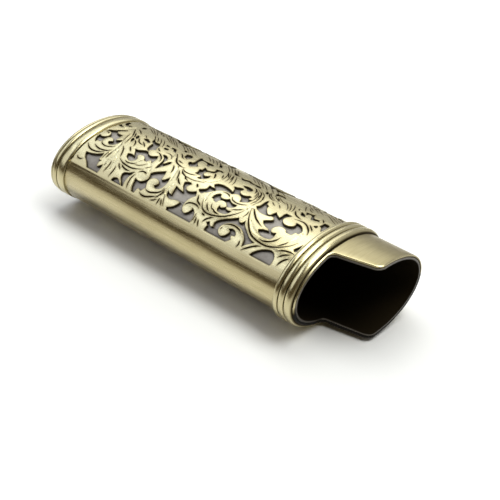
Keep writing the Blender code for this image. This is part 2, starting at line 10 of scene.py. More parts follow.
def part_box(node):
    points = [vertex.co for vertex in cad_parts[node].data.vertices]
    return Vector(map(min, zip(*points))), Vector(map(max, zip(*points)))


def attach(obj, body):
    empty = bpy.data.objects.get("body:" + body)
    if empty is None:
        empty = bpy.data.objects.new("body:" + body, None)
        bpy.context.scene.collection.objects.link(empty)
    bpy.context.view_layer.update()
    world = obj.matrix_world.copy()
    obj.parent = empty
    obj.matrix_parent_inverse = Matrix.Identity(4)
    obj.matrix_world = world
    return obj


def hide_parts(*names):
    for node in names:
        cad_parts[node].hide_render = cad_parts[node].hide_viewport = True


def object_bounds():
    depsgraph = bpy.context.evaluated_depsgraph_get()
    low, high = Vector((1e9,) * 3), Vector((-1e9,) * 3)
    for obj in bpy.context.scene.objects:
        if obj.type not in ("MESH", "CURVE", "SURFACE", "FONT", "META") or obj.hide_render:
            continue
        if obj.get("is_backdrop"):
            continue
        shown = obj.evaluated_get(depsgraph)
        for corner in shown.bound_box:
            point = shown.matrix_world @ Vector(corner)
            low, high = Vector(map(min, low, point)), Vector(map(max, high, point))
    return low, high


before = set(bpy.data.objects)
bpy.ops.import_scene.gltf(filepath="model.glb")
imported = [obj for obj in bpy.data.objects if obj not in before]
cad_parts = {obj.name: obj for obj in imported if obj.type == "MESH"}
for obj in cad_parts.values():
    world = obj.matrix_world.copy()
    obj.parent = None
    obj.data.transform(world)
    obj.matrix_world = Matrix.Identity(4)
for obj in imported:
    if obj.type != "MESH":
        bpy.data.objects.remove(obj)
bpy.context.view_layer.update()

# Camera: a long lens a quarter of a metre away, looking down over the thumb side of the mouth.
# Its place and turn were solved from the two beaded rings and the edges of the body and hood.
camera_place = (0.127376, -0.152169, 0.129737)
camera_turn = (57.210, -4.243, 41.112)
camera_lens = 79.974

bpy.ops.object.select_all(action="DESELECT")
bpy.ops.object.camera_add(location=camera_place, rotation=[math.radians(turn) for turn in camera_turn])
camera = bpy.context.object
camera.data.lens = camera_lens
camera.data.sensor_width = 36
camera.data.clip_start = 0.005
bpy.context.scene.camera = camera
bpy.context.scene.view_settings.view_transform = "Standard"

# Outer sleeve: one sheet of antique-plated brass, 0.5 mm thick, pierced and engraved flat with
# acanthus scrollwork, then bent into a closed oval sleeve with the hood as a tab at its mouth.
# Flat places are in millimetres: x from the closed end, arc round the case from the hood's side.
mm = 0.001
sleeve_low, sleeve_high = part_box("outer_sleeve")
collar_low, collar_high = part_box("top_collar")
case_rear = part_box("base_plate")[0].x
case_length = (sleeve_high.x - case_rear) / mm
body_width = (sleeve_high.y - sleeve_low.y) / mm
body_thickness = (sleeve_high.z - sleeve_low.z) / mm
axis_height = (sleeve_high.z + sleeve_low.z) / 2 / mm
sleeve_start = (sleeve_low.x - case_rear) / mm
collar_start = (collar_low.x - case_rear) / mm
collar_end = (collar_high.x - case_rear) / mm
mouth_stand = 0.4
mouth = collar_end + mouth_stand
section_power = 2.07
section_samples = 14401
sleeve_wall = 0.5
cut_foot = 4.05
cut_head = 1.75
cut_fillet = 1.3
cut_corner = 2.0
fillet_steps = 10
corner_steps = 14
cells_along = 60
cells_across = 13
border_arc_share = 0.7187


def section_curve():
    """Outer section as dense samples: running arc, y, z and the outward normal."""
    turn = np.linspace(-math.pi, math.pi, section_samples)
    half_width = body_width / 2
    half_height = body_thickness / 2
    across = np.cos(turn)
    up = np.sin(turn)
    y = half_width * np.sign(across) * np.abs(across) ** (2 / section_power)
    z = half_height * np.sign(up) * np.abs(up) ** (2 / section_power)
    normal_y = np.sign(y) * np.abs(y / half_width) ** (section_power - 1) / half_width
    normal_z = np.sign(z) * np.abs(z / half_height) ** (section_power - 1) / half_height
    size = np.hypot(normal_y, normal_z)
    steps = np.hypot(np.diff(y), np.diff(z))
    arc = np.concatenate([[0.0], np.cumsum(steps)])
    return arc - arc[-1] / 2, y, z, normal_y / size, normal_z / size


curve_arc, curve_y, curve_z, curve_normal_y, curve_normal_z = section_curve()
half_girth = curve_arc[-1]
quarter_arc = half_girth / 2


def wrapped(x, arc, depth):
    """Points of the case, in metres, from their flat place and their depth under the skin."""
    y = np.interp(arc, curve_arc, curve_y) - depth * np.interp(arc, curve_arc, curve_normal_y)
    z = np.interp(arc, curve_arc, curve_z) - depth * np.interp(arc, curve_arc, curve_normal_z)
    return np.stack(np.broadcast_arrays(x - case_length / 2, y, z + axis_height), axis=-1) * mm


def rounded_corner(before, corner, after, radius, steps):
    """Arc of a radius that rounds the corner between two straight edges."""
    corner = np.array(corner)
    to_before = np.array(before) - corner
    to_after = np.array(after) - corner
    to_before = to_before / np.linalg.norm(to_before)
    to_after = to_after / np.linalg.norm(to_after)
    half_angle = math.acos(float(np.dot(to_before, to_after))) / 2
    bisector = to_before + to_after
    centre = corner + bisector / np.linalg.norm(bisector) * radius / math.sin(half_angle)
    start = corner + to_before * radius / math.tan(half_angle) - centre
    end = corner + to_after * radius / math.tan(half_angle) - centre
    sweep = math.pi - 2 * half_angle
    points = []
    for step in range(steps + 1):
        part = step / steps
        blend = start * math.sin((1 - part) * sweep) + end * math.sin(part * sweep)
        points.append(tuple(centre + blend / math.sin(sweep)))
    return points


def mouth_edge():
    """Free edge of the upper half of a wrapper, from the thumb side round the hood's corner."""
    foot = quarter_arc + cut_foot
    head = quarter_arc + cut_head
    fillet = rounded_corner((mouth, half_girth), (mouth, foot), (case_length, head), cut_fillet, fillet_steps)
    corner = rounded_corner((mouth, foot), (case_length, head), (case_length, 0), cut_corner, corner_steps)
    return [(mouth, half_girth)] + fillet + corner + [(case_length, 0.0)]


def drawn(points, spacing, closed=False):
    """Points along a smooth curve through the given ones; a third value of 1 marks a sharp corner."""
    count = len(points)
    place = [np.array(point[:2], dtype=float) for point in points]
    sharp = [len(point) > 2 for point in points]
    line = []
    for i in range(count if closed else count - 1):
        j = (i + 1) % count
        span = place[j] - place[i]
        first = i == 0 and not closed
        last = j == count - 1 and not closed
        leave = span if sharp[i] or first else (place[j] - place[i - 1]) / 2
        arrive = span if sharp[j] or last else (place[(j + 1) % count] - place[i]) / 2
        steps = max(1, math.ceil(float(np.linalg.norm(span)) / spacing))
        for step in range(steps):
            t = step / steps
            along = t * t * (3 - 2 * t)
            line.append(place[i] + span * along + leave * t * (1 - t) ** 2 - arrive * t * t * (1 - t))
    if not closed:
        line.append(place[-1])
    return np.array(line)


# Outlines of the pierced pockets as shares of a field cell, read along the case from the base band
# and across it from the centre line towards the thumb side. A third value of 1 is a sharp corner.
base_scroll_shares = [
    (3.8, -1.35, 1), (3.95, -1.0), (3.3, -0.1), (2.8, 0.6), (3.0, 1.0), (3.6, 1.3), (4.2, 1.2),
    (4.75, 1.15, 1), (4.9, 2.0), (4.95, 2.9), (5.2, 3.55), (5.7, 3.1), (6.25, 2.65, 1), (6.5, 3.4),
    (6.35, 4.3), (5.9, 5.1), (5.2, 5.5), (4.5, 5.2), (4.25, 4.75, 1), (5.0, 4.2, 1), (4.5, 3.6),
    (3.9, 3.35), (3.3, 3.5), (2.9, 4.0), (2.7, 4.7), (2.8, 5.4), (2.35, 6.0, 1), (1.95, 5.8),
    (1.7, 6.5, 1), (1.1, 5.8), (0.75, 4.9), (0.7, 4.15, 1), (1.4, 4.35), (2.1, 4.1), (2.55, 3.6),
    (2.65, 3.0), (2.45, 2.4), (2.0, 1.95), (1.4, 1.8), (0.6, 2.0, 1), (0.9, 1.4), (1.7, 0.85),
    (2.4, 0.05), (3.2, -0.8)]
base_palmette_shares = [
    (6.3, 8.3, 1), (6.45, 9.1), (6.45, 10.1), (7.2, 10.05, 1), (6.9, 10.7), (7.05, 11.45), (7.4, 11.7),
    (7.9, 11.2), (8.35, 10.8, 1), (8.45, 11.8), (8.4, 12.9, 1), (5.0, 12.9, 1), (4.5, 12.3), (3.8, 11.6),
    (3.0, 11.1, 1), (2.6, 10.5), (2.3, 9.85, 1), (3.6, 9.65), (5.0, 9.15)]
first_scroll_shares = [
    (10.95, 3.2, 1), (11.8, 3.05), (12.5, 2.55), (13.2, 2.15), (13.9, 2.25), (14.4, 2.75), (15.1, 3.0),
    (15.8, 2.85), (16.2, 2.4), (16.65, 2.05, 1), (17.1, 2.7), (17.35, 3.6), (17.45, 4.8, 1), (17.0, 4.3),
    (16.6, 4.0, 1), (16.35, 4.5), (16.2, 5.0, 1), (15.55, 5.05), (15.2, 4.6), (14.8, 4.15), (14.2, 3.9),
    (13.5, 3.95), (13.1, 4.35), (13.15, 4.85), (13.6, 5.25), (13.85, 5.75), (13.5, 6.5), (12.75, 6.85),
    (12.0, 6.6), (11.3, 6.1), (10.9, 5.3, 1), (11.7, 5.05), (12.7, 5.2, 1), (12.1, 4.5), (11.5, 3.75)]
first_leaf_shares = [
    (10.5, -3.3, 1), (11.1, -2.6), (11.7, -2.2), (12.6, -2.3), (13.2, -2.0), (13.7, -1.2), (14.0, -0.3),
    (14.4, 0.6, 1), (13.8, 1.0), (13.45, 1.85, 1), (12.7, 1.3), (12.3, 0.4), (12.05, -0.6),
    (11.9, -1.3), (11.2, -1.7), (10.8, -2.4)]
stem_slit_shares = [(7.0, -1.45, 1), (7.6, -1.2), (7.95, -0.6), (8.0, 0.1, 1), (7.5, -0.25), (7.15, -0.8)]
lower_slit_shares = [(7.1, 0.2, 1), (7.7, 0.45), (8.0, 1.0), (8.1, 1.85, 1), (7.6, 1.35), (7.3, 0.8)]
bead_slit_shares = [
    (9.0, -1.4), (9.7, -1.9), (10.3, -1.5), (11.05, -1.1), (10.9, -0.6), (10.2, -0.85), (9.6, -0.95)]
border_leaf_shares = [
    (16.4, 8.85, 1), (16.2, 9.7), (15.95, 10.6), (15.95, 11.8), (16.2, 12.9, 1), (15.7, 12.9, 1),
    (15.1, 12.1), (14.45, 11.4), (14.2, 10.6), (14.5, 9.95), (15.4, 9.6)]
border_drop_shares = [(12.75, 12.9, 1), (12.9, 12.25), (13.5, 11.9), (14.3, 12.05), (15.4, 12.9, 1)]
fork_shares = [
    (17.1, 0.75, 1), (17.9, 0.7), (18.7, 1.2), (19.15, 2.0), (19.2, 2.9), (19.5, 3.4), (19.85, 2.9),
    (20.05, 2.1), (20.45, 1.8, 1), (20.75, 2.5), (20.4, 3.7), (19.9, 4.7), (19.4, 5.55, 1),
    (19.1, 4.6), (18.95, 3.4), (18.65, 2.4), (18.1, 1.6), (17.5, 1.2)]
second_scroll_shares = [
    (22.0, 4.95, 1), (22.45, 5.8), (22.75, 6.8), (23.05, 7.45), (23.45, 7.3), (23.8, 6.8), (24.15, 6.0, 1),
    (24.55, 6.9), (24.8, 8.1), (24.6, 9.3), (23.9, 9.85), (23.2, 9.85), (22.75, 9.5, 1), (23.1, 9.1),
    (23.2, 8.6), (22.9, 8.05), (22.2, 7.8), (21.4, 7.9), (20.85, 8.4), (20.7, 9.2), (20.9, 9.9),
    (21.4, 10.8, 1), (20.8, 11.9, 1), (20.0, 11.6), (19.7, 12.1), (19.6, 12.9, 1), (18.8, 12.9, 1),
    (18.3, 12.0), (18.0, 11.0), (17.75, 10.0, 1), (18.4, 10.2), (19.2, 10.15), (19.95, 9.6), (20.3, 8.9),
    (20.15, 8.1), (19.7, 7.3, 1), (20.3, 6.4), (21.1, 5.75)]
upper_scroll_shares = [
    (23.0, -5.1, 1), (23.8, -4.6), (24.8, -4.5), (26.2, -4.6), (27.2, -4.2), (27.2, -3.7, 1), (26.7, -3.6),
    (26.9, -2.7, 1), (26.3, -3.0), (25.9, -3.7), (25.0, -4.0), (24.2, -3.95), (24.05, -3.2), (24.25, -2.3),
    (24.8, -1.6), (25.5, -1.1, 1), (25.1, -0.5), (24.4, 0.3, 1), (23.7, -0.1), (23.1, -0.7),
    (22.95, -1.3, 1), (23.5, -1.5), (23.65, -2.0), (23.5, -2.8), (23.3, -3.6), (23.05, -4.4)]
upper_eye_shares = [
    (20.1, -3.6, 1), (20.8, -3.9), (21.5, -3.7), (21.9, -3.0), (21.8, -2.2), (21.2, -1.9, 1), (20.6, -2.3),
    (20.3, -2.9)]
upper_hook_shares = [
    (15.8, -3.3, 1), (16.4, -3.4), (17.2, -3.1), (17.6, -2.5), (18.0, -1.9, 1), (17.3, -2.1), (16.8, -2.7),
    (16.2, -2.7)]
upper_dot_shares = [(14.9, -1.8), (15.6, -1.95), (16.15, -1.7), (15.9, -1.25), (15.3, -1.2)]
upper_comma_shares = [(14.1, -3.4, 1), (14.8, -3.25), (15.35, -2.9, 1), (14.6, -2.7)]
middle_scroll_shares = [
    (28.8, -3.3, 1), (29.3, -3.6), (30.0, -3.7), (30.7, -3.5, 1), (30.6, -3.1), (29.95, -3.1), (29.8, -2.4),
    (29.85, -1.6), (29.4, -1.2), (28.7, -1.0), (28.3, -0.5), (28.35, 0.3), (28.85, 0.8), (29.4, 0.8),
    (29.8, 0.45), (30.1, 0.05, 1), (30.4, 0.7), (30.2, 1.5), (29.6, 2.2), (28.9, 2.5), (28.6, 2.3, 1),
    (28.9, 1.75), (28.6, 1.35), (27.8, 1.45), (27.0, 1.4, 1), (27.1, 0.7), (26.6, -0.5, 1), (27.1, -0.7),
    (26.9, -1.9, 1), (27.5, -1.5), (28.2, -1.3), (28.9, -1.7), (29.3, -2.2), (29.15, -2.8)]
great_leaf_shares = [
    (36.45, -0.4, 1), (37.2, -0.75), (37.7, -1.1), (38.4, -1.1), (38.6, -0.6), (38.45, -0.15), (38.7, 0.4),
    (39.3, 0.8), (40.1, 0.85), (40.75, 0.5), (41.2, 0.1), (41.75, 0.35), (41.6, 1.0), (42.0, 1.3),
    (42.5, 1.1, 1), (42.55, 1.8), (42.1, 2.5), (41.5, 2.95), (41.0, 3.05, 1), (40.8, 2.4), (40.3, 1.75),
    (39.6, 1.4), (38.9, 1.4), (38.4, 1.75), (38.1, 2.15, 1), (37.2, 2.15), (36.3, 2.25), (35.6, 2.6),
    (35.0, 3.1), (34.5, 3.7), (34.2, 4.3), (33.8, 4.9), (33.2, 5.3), (33.0, 5.85, 1), (32.3, 5.7),
    (31.7, 5.2, 1), (32.2, 4.75), (32.7, 4.3), (32.8, 3.6), (32.6, 2.95, 1), (33.4, 3.0), (34.2, 2.9, 1),
    (33.6, 2.5), (33.1, 1.9), (33.3, 1.35), (33.8, 1.0), (34.6, 0.8), (35.6, 0.85), (36.8, 1.15),
    (37.55, 1.35), (37.3, 0.5), (36.9, 0.0)]
great_hook_shares = [
    (37.4, -2.3, 1), (37.9, -2.6), (38.8, -2.7), (39.6, -2.5), (40.05, -2.0), (39.9, -1.35),
    (39.3, -1.15, 1), (39.0, -1.6), (38.5, -1.7), (37.9, -1.9)]
third_scroll_shares = [
    (36.2, 3.6, 1), (36.6, 3.75), (36.8, 4.2), (37.3, 4.5), (38.0, 4.5), (38.6, 4.15), (38.9, 3.75, 1),
    (39.4, 4.1), (40.0, 4.4), (40.7, 4.5), (41.4, 4.4, 1), (41.5, 4.9), (41.2, 5.4), (40.7, 5.75),
    (40.1, 5.95, 1), (39.7, 5.5), (39.2, 5.1), (38.5, 4.95), (37.8, 5.1), (37.4, 5.5), (37.3, 6.1, 1),
    (36.7, 6.05), (36.3, 5.7), (35.7, 5.6, 1), (35.6, 4.9), (35.75, 4.2)]
third_eye_shares = [
    (38.6, 6.6, 1), (39.2, 6.8), (39.6, 6.6), (39.95, 6.15, 1), (40.3, 6.5), (40.9, 6.65), (41.7, 6.5, 1),
    (41.6, 7.1), (41.0, 7.7), (40.2, 7.95), (39.3, 7.9), (38.8, 7.4)]
middle_ground_shares = [
    (27.7, 5.2, 1), (28.1, 4.85), (28.8, 4.65), (29.4, 4.95, 1), (29.1, 5.5), (29.0, 6.1), (29.3, 6.6),
    (29.9, 6.9), (30.6, 6.85), (31.2, 6.5), (31.7, 6.0, 1), (32.1, 6.4), (32.55, 7.2, 1), (32.1, 7.9),
    (31.8, 8.8), (31.75, 9.7), (31.9, 10.6), (32.3, 11.3), (33.0, 11.75), (33.6, 11.6), (34.1, 11.0),
    (34.3, 10.4), (34.2, 9.95, 1), (34.8, 10.25), (35.4, 10.9), (35.7, 11.8), (35.7, 12.9, 1),
    (29.1, 12.9, 1), (28.85, 12.35, 1), (29.7, 11.9), (30.3, 11.3), (30.7, 10.6), (30.85, 10.05, 1),
    (30.0, 10.0), (29.2, 10.15), (28.3, 10.45), (27.4, 10.3), (26.9, 9.9), (26.55, 9.1, 1), (27.2, 9.45),
    (27.8, 9.5, 1), (27.55, 8.8), (27.4, 8.0), (27.1, 7.15, 1), (28.3, 7.5), (29.6, 7.65, 1), (29.0, 7.0),
    (28.4, 6.4), (28.0, 5.8)]
border_scroll_shares = [
    (44.3, 6.95, 1), (44.65, 7.5), (45.15, 7.85), (45.7, 7.7), (45.95, 6.95, 1), (46.5, 7.8), (47.2, 8.4),
    (48.2, 9.1), (49.2, 9.8), (50.2, 10.2), (51.0, 10.35, 1), (50.4, 10.9), (49.7, 11.5), (49.2, 12.2, 1),
    (48.95, 11.4), (48.6, 10.6), (47.9, 9.8), (47.0, 9.15), (46.0, 8.8), (45.0, 8.7), (44.0, 8.85),
    (43.2, 9.3), (42.6, 9.9), (42.3, 10.7), (42.4, 11.5), (42.9, 12.1), (43.6, 12.35), (44.3, 12.05),
    (44.75, 11.5), (44.95, 10.9), (44.8, 10.5), (44.35, 10.25, 1), (45.0, 9.9), (45.8, 10.05),
    (46.3, 10.5), (46.55, 11.0, 1), (45.9, 11.15), (45.75, 11.6), (46.15, 12.0, 1), (45.7, 12.5),
    (45.3, 12.9, 1), (39.7, 12.9, 1), (39.6, 12.3), (39.7, 11.7), (39.1, 11.2, 1), (39.6, 10.8),
    (40.0, 11.3), (40.5, 11.6), (41.0, 11.4, 1), (40.7, 10.8), (40.75, 10.2), (41.2, 9.5), (42.1, 8.7),
    (43.1, 8.0), (43.8, 7.4)]
half_round_shares = [
    (51.8, 12.9, 1), (52.1, 12.2), (52.8, 11.4), (53.7, 10.7), (54.8, 10.2), (55.7, 10.2), (56.4, 10.7),
    (56.8, 11.4), (56.9, 12.2), (56.8, 12.9, 1)]
twin_scroll_shares = [
    (44.95, -1.3, 1), (45.3, -0.8), (45.5, -0.1), (45.9, 0.1), (46.35, 0.4), (46.6, 1.2), (47.2, 1.9),
    (47.8, 2.5), (48.3, 2.7), (48.7, 2.4), (48.85, 1.7), (49.0, 1.0, 1), (49.4, 1.4), (50.0, 1.75),
    (50.6, 2.1, 1), (50.7, 1.4), (50.6, 0.6), (50.7, -0.15, 1), (51.4, -0.1), (52.1, -0.05, 1),
    (51.7, 0.6), (51.45, 1.3), (51.5, 2.0), (51.9, 2.6), (52.5, 3.0), (53.3, 3.1), (54.0, 2.9),
    (54.5, 2.4), (54.6, 1.8), (54.35, 1.15, 1), (55.1, 1.15), (55.9, 1.5), (56.6, 2.2), (56.95, 2.9),
    (56.85, 3.8, 1), (56.2, 3.75), (55.9, 4.8, 1), (55.3, 4.85), (54.7, 4.85, 1), (54.2, 4.3),
    (53.5, 4.05), (52.8, 4.1), (52.2, 4.4), (51.8, 5.0), (51.65, 5.6), (51.85, 6.15), (52.3, 6.45),
    (52.8, 6.4), (53.2, 6.15, 1), (53.4, 6.8), (53.45, 7.6), (53.1, 8.05), (52.3, 8.3), (51.2, 8.3),
    (50.2, 7.9), (49.6, 7.3, 1), (50.3, 6.85), (51.0, 6.65), (51.65, 6.5, 1), (51.2, 6.1), (50.4, 5.9),
    (49.5, 5.5), (48.8, 4.8, 1), (49.3, 4.3), (49.9, 3.85, 1), (50.2, 3.4), (49.9, 2.85), (49.3, 2.7),
    (48.7, 3.0), (47.8, 3.2), (46.8, 3.2), (45.8, 2.9), (45.1, 2.5), (44.65, 2.0, 1), (45.0, 1.3),
    (45.0, 0.5), (44.9, -0.4)]
collar_slot_shares = [
    (58.05, -3.2, 1), (58.9, -3.2), (59.4, -2.8), (59.55, -1.5), (59.6, -0.5), (59.5, 0.1, 1), (59.1, -0.5),
    (58.8, -1.0), (58.1, -1.4, 1), (58.15, -2.3)]
collar_dot_shares = [(57.35, -0.6), (57.7, -1.05), (58.05, -0.75), (58.1, -0.2, 1), (57.7, -0.2)]
collar_drop_shares = [
    (59.65, 5.9, 1), (59.75, 6.9), (59.75, 7.9, 1), (59.25, 8.0), (58.9, 7.6, 1), (59.3, 6.8)]
upper_leaf_slit_shares = [
    (52.2, -3.2, 1), (52.9, -2.95), (53.4, -2.6), (53.9, -2.05, 1), (53.2, -1.85), (52.7, -2.2)]
upper_wave_shares = [
    (52.9, -4.1, 1), (53.5, -4.2), (54.1, -4.4), (54.55, -4.75), (54.75, -4.1), (55.0, -3.5), (55.5, -3.05),
    (56.0, -3.15), (56.45, -3.4, 1), (56.9, -2.75, 1), (56.2, -2.45), (55.4, -2.1, 1), (55.0, -2.7),
    (54.6, -3.4), (54.1, -3.75), (53.7, -3.6), (53.5, -3.0, 1), (53.1, -3.5)]
high_hook_shares = [
    (43.6, -5.9, 1), (44.6, -6.1), (45.6, -6.0), (46.3, -5.3, 1), (45.4, -5.35), (44.7, -5.1),
    (44.4, -4.6, 1), (43.9, -5.1)]
high_wave_shares = [
    (34.4, -5.1, 1), (35.2, -5.0), (35.9, -5.4), (36.6, -5.5), (37.5, -5.1), (38.5, -5.1), (39.3, -5.2),
    (39.9, -4.9), (40.3, -4.4, 1), (39.4, -4.35), (38.5, -4.6), (37.6, -4.45), (36.7, -4.7), (36.0, -4.4),
    (35.2, -4.3)]
high_slit_shares = [
    (31.7, -6.0, 1), (32.4, -5.95), (33.1, -5.45), (33.95, -5.2, 1), (33.0, -4.85), (32.3, -5.2)]
high_leaf_shares = [(27.0, -6.6, 1), (28.0, -6.1), (28.75, -5.0, 1), (28.2, -4.95), (27.7, -5.7)]
high_drop_shares = [(42.0, -4.5, 1), (42.6, -4.25), (42.95, -3.4, 1), (42.35, -3.5)]
high_dot_shares = [(18.2, -4.95), (18.9, -4.7), (19.15, -4.1), (18.6, -4.15)]
base_high_leaf_shares = [(4.2, -6.4, 1), (4.9, -6.3), (5.15, -5.4), (4.75, -4.9, 1), (4.3, -5.5)]
base_high_hook_shares = [
    (0.6, -5.3, 1), (1.2, -4.8), (1.35, -4.1), (1.75, -3.6), (2.3, -3.8), (2.85, -3.6, 1), (2.4, -3.15),
    (1.6, -2.9, 1), (0.95, -3.4), (0.6, -4.2)]
base_slit_shares = [(0.5, -2.55, 1), (1.1, -2.15), (1.95, -1.9, 1), (1.1, -1.55), (0.5, -1.8)]
far_ground_shares = [
    (24.6, 7.4, 1), (25.3, 8.1), (26.1, 8.5), (27.0, 8.3), (27.5, 7.5, 1), (27.9, 8.4), (27.9, 9.4),
    (28.1, 10.3), (28.6, 11.1), (29.4, 11.5), (30.1, 11.2), (30.4, 10.5), (30.2, 9.8, 1), (31.0, 10.2),
    (31.6, 11.0), (31.8, 12.9, 1), (25.2, 12.9, 1), (25.7, 12.0), (26.3, 11.2), (26.6, 10.3, 1),
    (25.7, 10.2), (24.9, 9.7), (24.4, 8.8)]

near_pockets = [
    base_scroll_shares, base_palmette_shares, first_scroll_shares, first_leaf_shares, stem_slit_shares,
    lower_slit_shares, bead_slit_shares, border_leaf_shares, border_drop_shares, fork_shares,
    second_scroll_shares, upper_scroll_shares, upper_eye_shares, upper_hook_shares, upper_dot_shares,
    upper_comma_shares, middle_scroll_shares, great_leaf_shares, great_hook_shares, third_scroll_shares,
    third_eye_shares, middle_ground_shares, border_scroll_shares, half_round_shares, twin_scroll_shares,
    collar_slot_shares, collar_dot_shares, collar_drop_shares, upper_leaf_slit_shares, upper_wave_shares,
    high_hook_shares, high_wave_shares, high_slit_shares, high_leaf_shares, high_drop_shares,
    high_dot_shares, base_high_leaf_shares, base_high_hook_shares, base_slit_shares]

# Pockets along the far border are near ones turned half round, moved along by so many cells
far_pockets = [
    (half_round_shares, -1), (border_scroll_shares, 0), (far_ground_shares, -6),
    (border_scroll_shares, 27), (base_palmette_shares, 0)]


def turned(outline, moved_share):
    """Outline turned half round the middle of the field and moved along it."""
    return [(cells_along - point[0] + moved_share, -point[1], *point[2:]) for point in outline]



